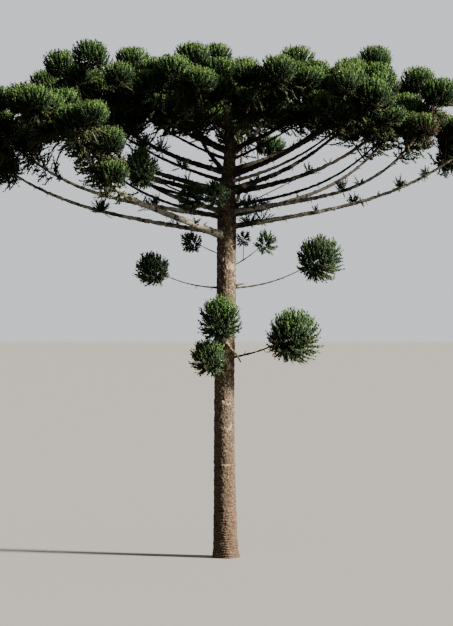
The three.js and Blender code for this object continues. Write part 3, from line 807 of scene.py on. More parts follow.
def leaf_corners(sprays, settings, random):
    """The four corners of each leaf, and each leaf's tint."""
    lines, across = spray_lines(sprays, settings)
    *_, widths, tints = sprays.columns()
    n = len(lines)
    count = sprays.leaves
    vary = functools.partial(random.uniform, 1 - LEAF_VARIES, 1 + LEAF_VARIES, (n, count))
    place = (np.arange(count) + 0.5 + random.uniform(-0.5, 0.5, (n, count))) / count
    place = sprays.bare + (1 - sprays.bare) * place ** LEAF_CROWDING
    part = np.clip(np.searchsorted(KNOTS, place) - 1, 0, len(KNOTS) - 2)
    share = ((place - KNOTS[part]) / (KNOTS[part + 1] - KNOTS[part]))[..., None]
    before = np.take_along_axis(lines, part[..., None], 1)
    after = np.take_along_axis(lines, part[..., None] + 1, 1)
    forward = normalised(after - before)
    turn = GOLDEN_TURN * np.arange(count) + random.uniform(0, 2 * math.pi, (n, 1))
    turn = turn + random.normal(0, LEAF_TURN_VARIES, (n, count))
    outward, onward = round_the_stem(forward, across[:, None], turn)
    spread = LEAF_SPREAD + (TIP_SPREAD - LEAF_SPREAD) * place ** 2
    spread = spread + random.normal(0, LEAF_SPREAD_VARIES, (n, count))
    cosine = np.cos(spread)[..., None]
    sine = np.sin(spread)[..., None]
    along_leaf = cosine * forward + sine * outward
    off_leaf = cosine * outward - sine * forward
    long = (settings.leaf_length * widths[:, None] * vary())[..., None]
    wide = (settings.leaf_width * widths[:, None] * vary())[..., None]
    thick = sprays.stem * widths[:, None] * np.interp(place, KNOTS, STEM_PROFILE)
    base = before + share * (after - before) + LEAF_SEAT * thick[..., None] * outward
    corners = [
        base + run * long * along_leaf + 0.5 * side * wide * onward + LEAF_KEEL * lift * wide * off_leaf
        for run, side, lift in LEAF_CORNERS]
    # Leaves near a spray's foot take darker tints: painted shade inside the tuft
    slots = np.repeat(tints[:, None], count, 1)
    slots = np.where((slots == FRESH_AND_LIT) & (place < FRESH_AND_LIT_FROM), GREEN, slots)
    slots = np.where((slots == GREEN) & (place < GREEN_FROM), DEEP_SHADE, slots)
    slots = np.where((slots == YOUNG) & (place < YOUNG_FROM), DEEP_SHADE, slots)
    return np.stack(corners, 2).reshape(-1, 4, 3), slots.ravel()


def stem_corners(sprays, settings):
    """The corners of each spray's stem, and the tint of each of its faces."""
    lines, across = spray_lines(sprays, settings)
    *_, widths, tints = sprays.columns()
    corners = [lines[:, 0]]
    for ring in (1, 2):
        forward = normalised(lines[:, ring + 1] - lines[:, ring - 1])
        for k in range(STEM_SIDES):
            turn = np.full(len(lines), 2 * math.pi * k / STEM_SIDES)
            outward, _ = round_the_stem(forward, across, turn)
            thick = sprays.stem * STEM_PROFILE[ring] * widths
            corners.append(lines[:, ring] + thick[:, None] * outward)
    corners.append(lines[:, 3])
    # The faces at a stem's foot are painted shade in the deep tint, and only the tip faces keep the fresh
    # tint
    face = np.arange(len(STEM_FACES))
    slots = np.where(face < STEM_GREEN_FACE, DEEP_SHADE, tints[:, None])
    return np.stack(corners, 1), np.where((slots == FRESH_AND_LIT) & (face < STEM_TIP_FACE), GREEN, slots)


def repeated(corners, faces):
    """Points and triangles of many like bodies."""
    starts = corners.shape[1] * np.arange(len(corners))
    return corners.reshape(-1, 3), (starts[:, None, None] + faces).reshape(-1, 3)


def foliage_piece(name, corners, faces, tints, nodes=()):
    """A piece of many like bodies in the leaves' tints."""
    piece = joined_mesh(name, *repeated(corners, faces), tints)
    for material in leaf_materials():
        piece.data.materials.append(material)
    settle(piece, nodes)


def foliage_pieces(name, kinds, nodes, settings, seed):
    """The leaves and stems of a group's sprays, the leaves in lots small enough for one piece each."""
    random = np.random.default_rng(seed)
    kinds = [sprays for sprays in kinds if sprays.rows]
    corners, tints = map(np.concatenate, zip(*(leaf_corners(each, settings, random) for each in kinds)))
    lots = len(corners) * len(LEAF_FACES) // PIECE_LIMIT + 1
    for k in range(lots):
        own = np.repeat(tints[k::lots], len(LEAF_FACES))
        foliage_piece(f"leaves_{name}_{'abcdefgh'[k]}", corners[k::lots], LEAF_FACES, own, nodes)
    corners, tints = map(np.concatenate, zip(*(stem_corners(each, settings) for each in kinds)))
    foliage_piece(f"stems_{name}", corners, STEM_FACES, tints.ravel())


LEAST_BOW = 1e-3  # a spray nearer to upright than this has no bow


def bow_of(direction, reach, share):
    """The bow that turns a spray's tip up, or down where share is below 0."""
    across = UP - direction * direction[2]
    if np.linalg.norm(across) < LEAST_BOW:
        return np.zeros(3)
    return across * (-share * reach)


# Over 1, directions crowd towards the top of a tuft
TOP_CROWDING = 1.25
BALL_SHAKE = 0.3


def ball_directions(count, lowest, random):
    """Directions spread evenly over a ball down to a height, turned and shaken at random."""
    k = np.arange(count)
    height = 1 - (1 - lowest) * ((k + 0.5) / count) ** TOP_CROWDING
    angle = GOLDEN_TURN * k + random.uniform(0, 2 * math.pi)
    width = np.sqrt(1 - height ** 2)
    even = np.stack((width * np.cos(angle), width * np.sin(angle), height), 1)
    return normalised(even + random.normal(0, BALL_SHAKE / math.sqrt(count), (count, 3)))


# A tuft is a dome of short thick sprays that turn up at their tips. Shares are of the tuft's size.
DOME_TOP = 0.74  # reach straight up or sideways
DOME_CORNER = 0.22  # halfway between, it is more by this
DOME_NARROWS = 0.35  # and less by this, straight down
DOME_VARIES = 0.1
DOME_LOWEST = -0.6  # height of the lowest spray's tip on a ball of size 1
DOME_LIFT = 0.16  # turns its sprays further up than the solids' rule does
FEWEST_SPRAYS = 16
SPRAYS_GROW = 1.7  # the power of a tuft's size that its number of sprays grows by
SHORTEST_SPRAY = 0.38
SPRAY_WIDTHS = (1.0, 1.35)
FOOT_BACK = 0.5  # how far back on the wood a backward spray leaves it
FOOT_OUT = 0.05
DOME_BOW = 0.28
DOME_BOWS = (0.6, 1.4)
DOME_CLEAR = 0.02  # kept between a spray and wood
DOME_PROBES = (0.5, 0.75, 1.0)  # where along a spray that is looked at
LEAST_FACING = 0.05
BALL_REACH = 1.1  # young shoots end in a rounder ball
BALL_VARIES = 0.42
BALL_LOWEST = -0.95
BALL_PLENTY = 1.5
SPARSE_TUFTS = {"shoot_upper_right_tuft": 0.75, "shoot_upper_left_tuft": 0.9, "shoot_crown_front_tuft": 1.0}
BALL_THICKER = 1.15
BALL_HANG = 0.12  # the sprays at the foot of a ball are longer by this

# How much of a crown tuft's top has the fresh tint, and of the young shoots' tufts: partly fresh growth,
# partly painted light on the tops
CROWN_FRESH_AND_LIT = (0.55, 0.95)
SHOOT_FRESH_AND_LIT = {
    "shoot_left_tuft": 0.15, "shoot_right_tuft": 0.2, "shoot_lower_right_tuft": 0.85,
    "shoot_front_tuft": 0.95, "shoot_front_low_tuft": 0.8, "shoot_upper_right_tuft": 0.9,
    "shoot_upper_left_tuft": 0.2, "shoot_crown_left_tuft": 0.9, "shoot_crown_front_tuft": 0.6,
}

# A tuft's top, shoulder and side start at these heights on a ball of size 1, and its foot is the rest
TOP_FROM = 0.6
SHOULDER_FROM = 0.25
SIDE_FROM = -0.2
# Chances of each tint there: lighter on the top and darker at the sides and foot, partly as fresh and older
# leaves and partly as painted light and shade
SHOULDER_FRESH_AND_LIT = 0.3  # as a share of that at the top
SHOULDER_GREEN = 0.5
SIDE_GREEN = 0.2
SIDE_YOUNG = 0.75
FOOT_DEEP_SHADE = 0.6


def tuft_tint(up, young, fresh_and_lit, random):
    """The tint of a spray, by how far up it points: lighter on top and darker at the sides and foot, partly
    as fresh and older leaves and partly as painted light and shade.
    """
    chance = random.uniform()
    plain = YOUNG if young else GREEN
    if up > TOP_FROM:
        return FRESH_AND_LIT if chance < fresh_and_lit else plain
    if up > SHOULDER_FROM:
        if chance < SHOULDER_FRESH_AND_LIT * fresh_and_lit:
            return FRESH_AND_LIT
        return plain if young or chance < SHOULDER_GREEN else DEEP_SHADE
    if young:
        return plain if chance < SIDE_YOUNG else OLIVE
    if up > SIDE_FROM:
        return plain if chance < SIDE_GREEN else DEEP_SHADE
    return DEEP_SHADE if chance < FOOT_DEEP_SHADE else OLIVE


def room_towards(tuft, direction, layout):
    """How far a tuft's sprays may reach before the middle plane to a neighbour, by direction."""
    room = np.full(len(direction), np.inf)
    for other in layout.tufts:
        apart = other.centre - tuft.centre
        distance = np.linalg.norm(apart)
        if other is tuft or distance > 2 * tuft.size + other.size:
            continue
        facing = direction @ apart / distance
        plane = distance * tuft.size / (tuft.size + other.size) - CLEAR
        free = np.where(facing > LEAST_FACING, plane / np.maximum(facing, LEAST_FACING), np.inf)
        room = np.minimum(room, free)
    return room


def dome_reach(up):
    """How far a crown tuft's sprays reach, by how far up they point: its top is flat, its foot narrow."""
    rise = np.clip(up, 0, 1)
    corner = 2 * rise * np.sqrt(1 - rise ** 2)
    return DOME_TOP + DOME_CORNER * corner + DOME_NARROWS * np.clip(up, -1, 0)


def tuft_sprays(tuft, layout, per_tuft, sprays, random):
    """The sprays of a tuft. They stop at the middle plane to each neighbour, and keep off wood."""
    young = tuft.owner.startswith("shoot")
    fresh_and_lit = SHOOT_FRESH_AND_LIT[tuft.owner] if young else random.uniform(*CROWN_FRESH_AND_LIT)
    plenty = SPARSE_TUFTS.get(tuft.owner, BALL_PLENTY) if young else 1.0
    count = max(FEWEST_SPRAYS, round(plenty * per_tuft * (tuft.size / TUFT_SIZE) ** SPRAYS_GROW))
    outward = ball_directions(count, BALL_LOWEST if young else DOME_LOWEST, random)
    lift = SPRAY_LIFT * (SIDE_LIFT + (1 - SIDE_LIFT) * outward[:, 2:3]) + (0 if young else DOME_LIFT)
    direction = normalised(outward + UP * lift)
    up = direction[:, 2]
    reach = BALL_REACH * np.where(up < SIDE_FROM, 1 + BALL_HANG, 1) if young else dome_reach(up)
    varies = BALL_VARIES if young else DOME_VARIES
    wanted = tuft.size * (reach - varies * random.uniform(0, 1, count) ** 2)
    wanted = np.minimum(wanted, room_towards(tuft, direction, layout))
    back = FOOT_BACK * tuft.size * (1 - direction @ tuft.aim) / 2
    feet = tuft.centre - tuft.aim * back[:, None] + direction * FOOT_OUT * tuft.size
    tips = tuft.centre + direction * wanted[:, None]
    clear = wanted > SHORTEST_SPRAY * tuft.size
    for share in DOME_PROBES:
        clear &= layout.wood_clearance(feet + (tips - feet) * share) > DOME_CLEAR
    thicker = BALL_THICKER if young else 1
    for k in np.flatnonzero(clear):
        chord = tips[k] - feet[k]
        length = np.linalg.norm(chord)
        bow = bow_of(chord / length, length, DOME_BOW * random.uniform(*DOME_BOWS))
        tint = tuft_tint(direction[k][2], young, fresh_and_lit, random)
        if in_dry_patch(tips[k]) and tint in (GREEN, DEEP_SHADE, OLIVE) and random.uniform() < DRY_SHARE:
            tint = DRY
        sprays.add(feet[k], tips[k], bow, random.uniform(*SPRAY_WIDTHS) * thicker, tint)


# Strands are older, longer sprays along the wood behind a tuft, in whorls
STRAND_WHORL = 5
STRAND_REACH = 0.55
STRAND_REACHES = (0.65, 1.1)
STRAND_WIDTHS = (1.1, 1.5)
STRAND_TURNS = (-0.3, 0.3)
STRAND_AHEAD = (0.1, 0.9)
STRAND_FALL = 0.45
STRAND_FALLS = (0.2, 1.2)
STRAND_BOW = 0.1
STRAND_BOWS = (0.4, 1.5)
STRAND_STEP = 0.02
STRAND_BEFORE = 0.02  # how far before the leafy end the first strands stand
STRAND_HEIGHT = 11.6  # from this height up, a bare limb has strands as well
STRAND_FIRST = 0.25  # but not before this share, and looked at in that many places
STRAND_PLACES = 12
STRAND_LAST = 0.96
STRAND_LOWEST = 11.5  # of the tip of a strand far from the tufts
STRAND_STRAY = 1.45  # the most that a tip is from a tuft's middle, as a share of its size
LIMB_LONGER = 1.15  # than its reach
TWIG_STRANDS = (0.12, 0.85)  # from where to where on a twig

# Strands start further in on these limbs, at this share, and are more and longer
LUSH = {"tier1_a": 0.82, "tier1_b": 0.58, "tier2_a": 0.68, "tier3_a": 0.64}
LUSH_STRAY = 2.4
LUSH_PLENTY = 2.4
LUSH_REACH = 1.15

# A brown patch near the crown's right end: its x and height
DRY_SPOT = (5.35, 11.75)
DRY_SPREAD = 0.6
DRY_BEHIND = 1.0  # strands further back than this stay green
DRY_SHARE = 0.5

# Chances of the tints of a strand; its deep tint is painted shade under the tufts
STRAND_OLIVE = 0.55
LUSH_OLIVE = 0.8
NOT_DRY = 0.985


def strand_stretches(limb):
    """Where strands stand: the limb's leafy end, what of it is high in the crown, and its twigs."""
    first = LUSH.get(limb.name, limb.bare - STRAND_BEFORE)
    for t in np.linspace(limb.bare, STRAND_FIRST, STRAND_PLACES):
        if limb.point(t)[2] > STRAND_HEIGHT:
            first = min(first, t)
    stretches = [(limb.point, first, STRAND_LAST, limb.reach * (STRAND_LAST - first) * LIMB_LONGER)]
    start, end = TWIG_STRANDS
    for twig in (*limb.placed, *limb.fine):
        stretches.append((twig.point, start, end, (end - start) * twig.length))
    return stretches


def strand_fits(tip, limb, layout):
    """Whether a strand may end there: in its own solid's space, near its tufts or high, off wood."""
    centres, sizes = layout.tuft_arrays()
    gaps = np.linalg.norm(tip - centres, axis=1) / sizes
    nearest = int(np.argmin(gaps))
    if limb.foliage and layout.tufts[nearest].owner != limb.foliage:
        return False
    stray = LUSH_STRAY if limb.name in LUSH else STRAND_STRAY
    if gaps[nearest] > stray and tip[2] < STRAND_LOWEST:
        return False
    return layout.wood_clearance(tip)[0] > DOME_CLEAR


def strand_sprays(limb, layout, per_metre, sprays, random):
    """Strands in whorls round the wood: they spread forwards and sideways, and hang."""
    lush = limb.name in LUSH
    if lush:
        per_metre = per_metre * LUSH_PLENTY
    for point_at, first, last, length in strand_stretches(limb):
        for t in np.linspace(first, last, max(2, round(per_metre * length / STRAND_WHORL))):
            foot = point_at(t)
            ahead = unit(point_at(min(1, t + STRAND_STEP)) - point_at(t - STRAND_STEP))
            turn = random.uniform(0, 2 * math.pi)
            side = unit(np.cross(ahead, UP))
            over = np.cross(side, ahead)
            for k in range(STRAND_WHORL):
                angle = turn + 2 * math.pi * (k + random.uniform(*STRAND_TURNS)) / STRAND_WHORL
                spread = side * math.cos(angle) + over * math.sin(angle)
                fall = UP * STRAND_FALL * random.uniform(*STRAND_FALLS)
                direction = unit(spread + ahead * random.uniform(*STRAND_AHEAD) - fall)
                reach = STRAND_REACH * random.uniform(*STRAND_REACHES) * (LUSH_REACH if lush else 1)
                tip = foot + direction * reach
                if not strand_fits(tip, limb, layout):
                    continue
                bow = bow_of(direction, reach, STRAND_BOW * random.uniform(*STRAND_BOWS))
                width = random.uniform(*STRAND_WIDTHS)
                sprays.add(foot, tip, bow, width, strand_tint(tip, lush, random))


def in_dry_patch(tip):
    return math.hypot(tip[0] - DRY_SPOT[0], tip[2] - DRY_SPOT[1]) < DRY_SPREAD and tip[1] < DRY_BEHIND


def strand_tint(tip, lush, random):
    chance = random.uniform()
    if in_dry_patch(tip):
        return DRY if chance < DRY_SHARE else DEEP_SHADE
    if chance < (LUSH_OLIVE if lush else STRAND_OLIVE):
        return OLIVE
    return DEEP_SHADE if chance < NOT_DRY else DRY


# Small sprigs stand on the boughs: these where the photo shows them, as limb, share, reach, count
SPRIGS = (
    ("tier1_a", 0.49, 0.44, 46), ("tier1_c", 0.5, 0.38, 26), ("tier1_c", 0.68, 0.34, 20),
    ("tier1_c", 0.78, 0.26, 14), ("tier2_b", 0.55, 0.36, 24), ("tier2_b", 0.17, 0.36, 26),
    ("tier1_c", 0.14, 0.4, 22), ("tier2_a", 0.3, 0.36, 24), ("tier1_b", 0.5, 0.34, 12),
    ("slender_left_high", 0.55, 0.5, 60), ("slender_left", 0.5, 0.42, 34), ("tier3_b", 0.42, 0.32, 18),
    ("slender_left_high", 0.3, 0.36, 24), ("tier4_a", 0.4, 0.4, 30), ("tier2_b", 0.1, 0.42, 40),
    ("tier1_c", 0.09, 0.42, 40), ("tier2_b", 0.14, 0.36, 30), ("tier3_b", 0.12, 0.34, 24),
    ("tier5_b", 0.62, 0.6, 80), ("tier5_b", 0.54, 0.55, 50),
)
SPRIGS_PER_METRE = 0.4
SPRIGS_VARY = (0.5, 1.5)
SPRIG_FIRST = 0.16  # the others stand from this share of a bough on
SPRIG_COUNTS = (2, 7)
SPRIG_REACH = 0.24
SPRIG_REACHES = (0.55, 1.1)
SPRIG_WIDTHS = (0.8, 1.2)
SPRIG_WIDTH = 0.8
SPRIG_ASIDE = (-1, 1)
SPRIG_RISE = (0.4, 1.2)
SPRIG_SEAT = 0.7  # of the bough's radius
SPRIG_SPREAD = 0.75
SPRIG_YOUNG = 0.6
SPRIG_BOW = 0.1


def sprig(limb, t, reach, count, layout, sprays, random):
    """A bunch of small sprays round a point on a bough."""
    lean = unit(limb.sideways * random.uniform(*SPRIG_ASIDE) + UP * random.uniform(*SPRIG_RISE))
    foot = limb.point(t) + lean * limb.radius(t) * SPRIG_SEAT
    for _ in range(count):
        direction = unit(lean + random.normal(0, SPRIG_SPREAD, 3))
        tip = foot + direction * reach * random.uniform(*SPRIG_REACHES)
        if layout.wood_clearance(tip)[0] < DOME_CLEAR:
            continue
        tint = YOUNG if random.uniform() < SPRIG_YOUNG else OLIVE
        width = SPRIG_WIDTH * random.uniform(*SPRIG_WIDTHS)
        sprays.add(foot, tip, bow_of(direction, reach, SPRIG_BOW), width, tint)


# Shader helpers
def add_node(tree, kind, inputs=None, **settings):
    """A node with its settings and inputs: an input is a value, or a socket to link from."""
    made = tree.nodes.new(kind)
    for key, value in settings.items():
        setattr(made, key, value)
    for key, value in (inputs or {}).items():
        if isinstance(value, bpy.types.NodeSocket):
            tree.links.new(value, made.inputs[key])
        else:
            made.inputs[key].default_value = value
    return made


# Where the colours of a mix node are among its inputs and outputs
MIX_FIRST = 6
MIX_SECOND = 7
MIX_RESULT = 2


def mix_colours(tree, factor, first, second):
    """A mix of two colours, each a colour or a socket."""
    first, second = (
        end if isinstance(end, bpy.types.NodeSocket) else (*end, 1) for end in (first, second))
    inputs = {"Factor": factor, MIX_FIRST: first, MIX_SECOND: second}
    return add_node(tree, "ShaderNodeMix", inputs, data_type="RGBA").outputs[MIX_RESULT]


def map_range(tree, value, low, high, to_low=0.0, to_high=1.0):
    inputs = {"Value": value, "From Min": low, "From Max": high, "To Min": to_low, "To Max": to_high}
    return add_node(tree, "ShaderNodeMapRange", inputs).outputs["Result"]


def maths(tree, operation, first, second):
    return add_node(tree, "ShaderNodeMath", {0: first, 1: second}, operation=operation).outputs[0]


def new_material(name):
    """A material with an empty tree but for its shader and output."""
    material = bpy.data.materials.new(name)
    material.use_nodes = True
    tree = material.node_tree
    tree.nodes.clear()
    shader = add_node(tree, "ShaderNodeBsdfPrincipled")
    output = add_node(tree, "ShaderNodeOutputMaterial")
    tree.links.new(shader.outputs[0], output.inputs["Surface"])
    return material, tree, shader


def new_group(name, inputs, outputs):
    """A shader node group with named sockets: inputs as name, kind and value; outputs as name and kind."""
    group = bpy.data.node_groups.new(name, "ShaderNodeTree")
    for label, kind, value in inputs:
        socket = group.interface.new_socket(name=label, in_out="INPUT", socket_type=kind)
        if value is not None:
            socket.default_value = value
    for label, kind in outputs:
        group.interface.new_socket(name=label, in_out="OUTPUT", socket_type=kind)
    return group, group.nodes.new("NodeGroupInput"), group.nodes.new("NodeGroupOutput")


@functools.cache
def flaking_group():
    """Small plates of bark that part and flake: how deep a crack is, the tone of each plate, a height."""
    group, given, result = new_group(
        "flaking_bark",
        [("Vector", "NodeSocketVector", None), ("Plates per metre", "NodeSocketFloat", 30.0),
         ("Squash", "NodeSocketFloat", 1.6), ("Crack width", "NodeSocketFloat", 0.12)],
        [("Cracks", "NodeSocketFloat"), ("Tone", "NodeSocketFloat"), ("Height", "NodeSocketFloat")])

    def vector_maths(operation, first, second):
        made = add_node(group, "ShaderNodeVectorMath", {0: first, 1: second}, operation=operation)
        return made.outputs[0]

    vector = given.outputs["Vector"]
    shake = add_node(group, "ShaderNodeTexNoise", {"Vector": vector, "Scale": 14.0, "Detail": 3.0})
    shift = vector_maths("MULTIPLY", shake.outputs["Color"], (0.05, 0.05, 0.05))
    moved = vector_maths("ADD", vector, shift)
    squash = add_node(group, "ShaderNodeCombineXYZ", {"X": 1.0, "Y": 1.0, "Z": given.outputs["Squash"]})
    squashed = vector_maths("MULTIPLY", moved, squash.outputs[0])
    cells = {"Vector": squashed, "Scale": given.outputs["Plates per metre"], "Randomness": 0.9}
    edges = add_node(group, "ShaderNodeTexVoronoi", cells, feature="DISTANCE_TO_EDGE")
    plates = add_node(group, "ShaderNodeTexVoronoi", cells, feature="F1")
    tone = add_node(group, "ShaderNodeSeparateColor", {0: plates.outputs["Color"]}).outputs[0]
    open_plate = map_range(group, edges.outputs["Distance"], 0.0, given.outputs["Crack width"])
    inputs = {"Vector": moved, "Scale": 90.0, "Detail": 4.0, "Roughness": 0.65}
    grain = add_node(group, "ShaderNodeTexNoise", inputs).outputs[0]
    height = maths(group, "ADD", maths(group, "MULTIPLY", grain, 0.5), maths(group, "MULTIPLY", tone, 0.5))
    group.links.new(maths(group, "SUBTRACT", 1.0, open_plate), result.inputs["Cracks"])
    group.links.new(tone, result.inputs["Tone"])
    group.links.new(maths(group, "ADD", height, open_plate), result.inputs["Height"])
    return group


@functools.cache
def patches_group():
    """Soft-edged patches, for lichen and weathering."""
    group, given, result = new_group(
        "patches",
        [("Vector", "NodeSocketVector", None), ("Scale", "NodeSocketFloat", 6.0),
         ("Share", "NodeSocketFloat", 0.5), ("Edge", "NodeSocketFloat", 0.06)],
        [("Mask", "NodeSocketFloat")])
    blots = add_node(group, "ShaderNodeTexNoise", {
        "Vector": given.outputs["Vector"], "Scale": given.outputs["Scale"], "Detail": 6.0,
        "Roughness": 0.68})
    level = maths(group, "SUBTRACT", 1.0, given.outputs["Share"])
    low = maths(group, "SUBTRACT", level, given.outputs["Edge"])
    high = maths(group, "ADD", level, given.outputs["Edge"])
    group.links.new(map_range(group, blots.outputs[0], low, high), result.inputs["Mask"])
    return group


def patches(tree, vector, scale, share, edge):
    inputs = {"Vector": vector, "Scale": scale, "Share": share, "Edge": edge}
    return add_node(tree, "ShaderNodeGroup", inputs, node_tree=patches_group()).outputs["Mask"]


def flaking(tree, vector, per_metre, squash, crack):
    inputs = {"Vector": vector, "Plates per metre": per_metre, "Squash": squash, "Crack width": crack}
    return add_node(tree, "ShaderNodeGroup", inputs, node_tree=flaking_group()).outputs


def times(tree, first, second):
    return maths(tree, "MULTIPLY", first, second)


def stored(tree, name):
    """A value that is kept at each point of the mesh."""
    return add_node(tree, "ShaderNodeAttribute", attribute_name=name).outputs["Fac"]


def object_coordinates(tree):
    return add_node(tree, "ShaderNodeTexCoord").outputs["Object"]


def finish_bark(tree, shader, colour, roughness, relief=None, strength=0.0, distance=0.0):
    """Links the colour, and a fine bump where there is one."""
    tree.links.new(colour, shader.inputs["Base Color"])
    shader.inputs["Roughness"].default_value = roughness
    if relief is not None:
        inputs = {"Height": relief, "Strength": strength, "Distance": distance}
        bump = add_node(tree, "ShaderNodeBump", inputs)
        tree.links.new(bump.outputs[0], shader.inputs["Normal"])


@functools.cache
def trunk_material():
    """Reddish wrinkled bark at the foot, flaking tan and cream plates above, dark cracks and scars, with
    painted shade in the hollows and under the crown.
    """
    wood = bpy.context.scene.pine_wood
    material, tree, shader = new_material("trunk_bark")
    coords = object_coordinates(tree)
    height = add_node(tree, "ShaderNodeSeparateXYZ", {0: coords}).outputs["Z"]
    squeezed = {0: coords, 1: (1.0, 1.0, 2.6)}
    squeezed = add_node(tree, "ShaderNodeVectorMath", squeezed, operation="MULTIPLY").outputs[0]
    plates = flaking(tree, coords, per_metre=13.0, squash=0.62, crack=0.09)
    chips = flaking(tree, coords, per_metre=34.0, squash=0.8, crack=0.14)
    # Where the foot, the upper trunk and the shade under the crown are
    foot = map_range(tree, height, 3.6, 0.8)
    upper = map_range(tree, height, 2.4, 5.6)
    crown = map_range(tree, height, 8.8, 9.6)
    weathered = patches(tree, coords, scale=2.6, share=0.42, edge=0.16)
    body = mix_colours(tree, weathered, wood.bark_warm, wood.bark_grey)
    body = mix_colours(tree, times(tree, foot, 0.75), body, wood.bark_foot)
    # Dark stains and bleached spots, wider than high
    stains = times(tree, patches(tree, squeezed, scale=12.0, share=0.45, edge=0.03), 0.8)
    body = mix_colours(tree, stains, body, wood.bark_dark_and_shade)
    bleached = times(tree, patches(tree, squeezed, scale=16.0, share=0.42, edge=0.03), 0.75)
    body = mix_colours(tree, bleached, body, wood.bark_cream)
    # Plates and chips each have a tone, and some chips have just come off
    toned = map_range(tree, plates["Tone"], 0.0, 0.6, 0.75, 0.0)
    body = mix_colours(tree, times(tree, toned, upper), body, wood.bark_grey)
    body = mix_colours(tree, map_range(tree, chips["Tone"], 0.0, 1.0, 0.0, 0.35), body, wood.bark_grey)
    fresh = map_range(tree, chips["Tone"], 0.55, 0.65)
    fresh = times(tree, fresh, patches(tree, coords, scale=6.0, share=0.52, edge=0.05))
    fresh = times(tree, fresh, map_range(tree, upper, 0.0, 1.0, 0.1, 0.9))
    body = mix_colours(tree, fresh, body, wood.bark_cream)
    # Cracks, the hollows of the relief with painted shade in them, pale scars, and painted shade on the
    # trunk under the crown
    cracks = times(tree, plates["Cracks"], map_range(tree, upper, 0.0, 1.0, 0.15, 0.75))
    body = mix_colours(tree, cracks, body, wood.bark_dark_and_shade)
    body = mix_colours(tree, times(tree, chips["Cracks"], 0.35), body, wood.bark_dark_and_shade)
    # The stored hollow: the cracks' darker bark, and painted shade in the cracks, creases and scar hollows
    hollow = map_range(tree, stored(tree, "hollow"), 0.25, 0.95, 0.0, 0.9)
    body = mix_colours(tree, hollow, body, wood.bark_dark_and_shade)
    pale = times(tree, stored(tree, "pale"), map_range(tree, chips["Height"], 0.9, 1.3, 0.2, 0.8))
    body = mix_colours(tree, pale, body, wood.bark_cream)
    # Painted shade of the crown, darkening the trunk from 8.8 m up
    body = mix_colours(tree, times(tree, crown, 0.5), body, wood.bark_dark_and_shade)
    relief = maths(tree, "ADD", plates["Height"], times(tree, chips["Height"], 0.5))
    finish_bark(tree, shader, body, 0.92, relief, strength=0.6, distance=0.008)
    return material


@functools.cache
def limb_material():
    """Dark rough bark with pale lichen in patches, darker cracks, and painted shade in the dips between its
    lumps.
    """
    wood = bpy.context.scene.pine_wood
    material, tree, shader = new_material("limb_bark")
    coords = object_coordinates(tree)
    plates = flaking(tree, coords, per_metre=44.0, squash=1.0, crack=0.16)
    weathered = patches(tree, coords, scale=2.4, share=0.42, edge=0.14)
    body = mix_colours(tree, weathered, wood.limb_dark, wood.bark_grey)
    body = mix_colours(tree, map_range(tree, plates["Tone"], 0.0, 1.0, 0.0, 0.35), body, wood.limb_dark)
    # Spots of lichen in longer stretches, which take up more of the limbs that have more of it; the amount
    # per limb is partly painted light
    share = map_range(tree, stored(tree, "lichen"), 0.0, 1.2, 0.33, 0.7)
    lichen = patches(tree, coords, scale=1.5, share=share, edge=0.04)
    lichen = times(tree, lichen, patches(tree, coords, scale=7.0, share=0.57, edge=0.05))
    body = mix_colours(tree, lichen, body, wood.limb_lichen)
    body = mix_colours(tree, times(tree, plates["Cracks"], 0.3), body, wood.bark_dark_and_shade)
    # The stored hollow: darker cracks, and painted shade in the dips
    hollow = map_range(tree, stored(tree, "hollow"), 0.3, 1.0, 0.0, 0.85)
    body = mix_colours(tree, hollow, body, wood.bark_dark_and_shade)
    finish_bark(tree, shader, body, 0.9, plates["Height"], strength=0.5, distance=0.004)
    return material


@functools.cache
def twig_material():
    """Brown young bark with the scars of fallen leaves."""
    wood = bpy.context.scene.pine_wood
    material, tree, shader = new_material("twig_bark")
    plates = flaking(tree, object_coordinates(tree), per_metre=60.0, squash=0.8, crack=0.2)
    toned = map_range(tree, plates["Tone"], 0.0, 1.0, 0.2, 0.9)
    body = mix_colours(tree, toned, wood.limb_dark, wood.twig_brown)
    body = mix_colours(tree, times(tree, plates["Cracks"], 0.5), body, wood.bark_dark_and_shade)
    finish_bark(tree, shader, body, 0.85, plates["Height"], strength=0.4, distance=0.003)
    return material


@functools.cache
def dead_material():
    """Bare weathered wood, pale with darker streaks."""
    wood = bpy.context.scene.pine_wood
    material, tree, shader = new_material("dead_wood")
    coords = object_coordinates(tree)
    plates = flaking(tree, coords, per_metre=40.0, squash=0.5, crack=0.2)
    streaks = patches(tree, coords, scale=9.0, share=0.45, edge=0.1)
    body = mix_colours(tree, streaks, wood.bark_cream, wood.bark_warm)
    body = mix_colours(tree, times(tree, plates["Cracks"], 0.6), body, wood.bark_dark_and_shade)
    finish_bark(tree, shader, body, 0.85)
    return material


# Where a leaf tint drifts: how often in a metre, and between which values of the noise
DRIFT_SCALE = 1.7
DRIFT_RANGE = (0.3, 0.7)


def soft_tint(name, colour, roughness, vary, shine):
    """A plain tint that drifts a little in brightness from place to place."""
    material, tree, shader = new_material(name)
    inputs = {"Vector": object_coordinates(tree), "Scale": DRIFT_SCALE, "Detail": 2.0}
    drift = add_node(tree, "ShaderNodeTexNoise", inputs)
    darker = tuple(value * (1 - vary) for value in colour)
    lighter = tuple(min(1, value * (1 + vary)) for value in colour)
    factor = map_range(tree, drift.outputs[0], *DRIFT_RANGE)
    tree.links.new(mix_colours(tree, factor, darker, lighter), shader.inputs["Base Color"])
    shader.inputs["Roughness"].default_value = roughness
    shader.inputs["Specular IOR Level"].default_value = shine
    return material


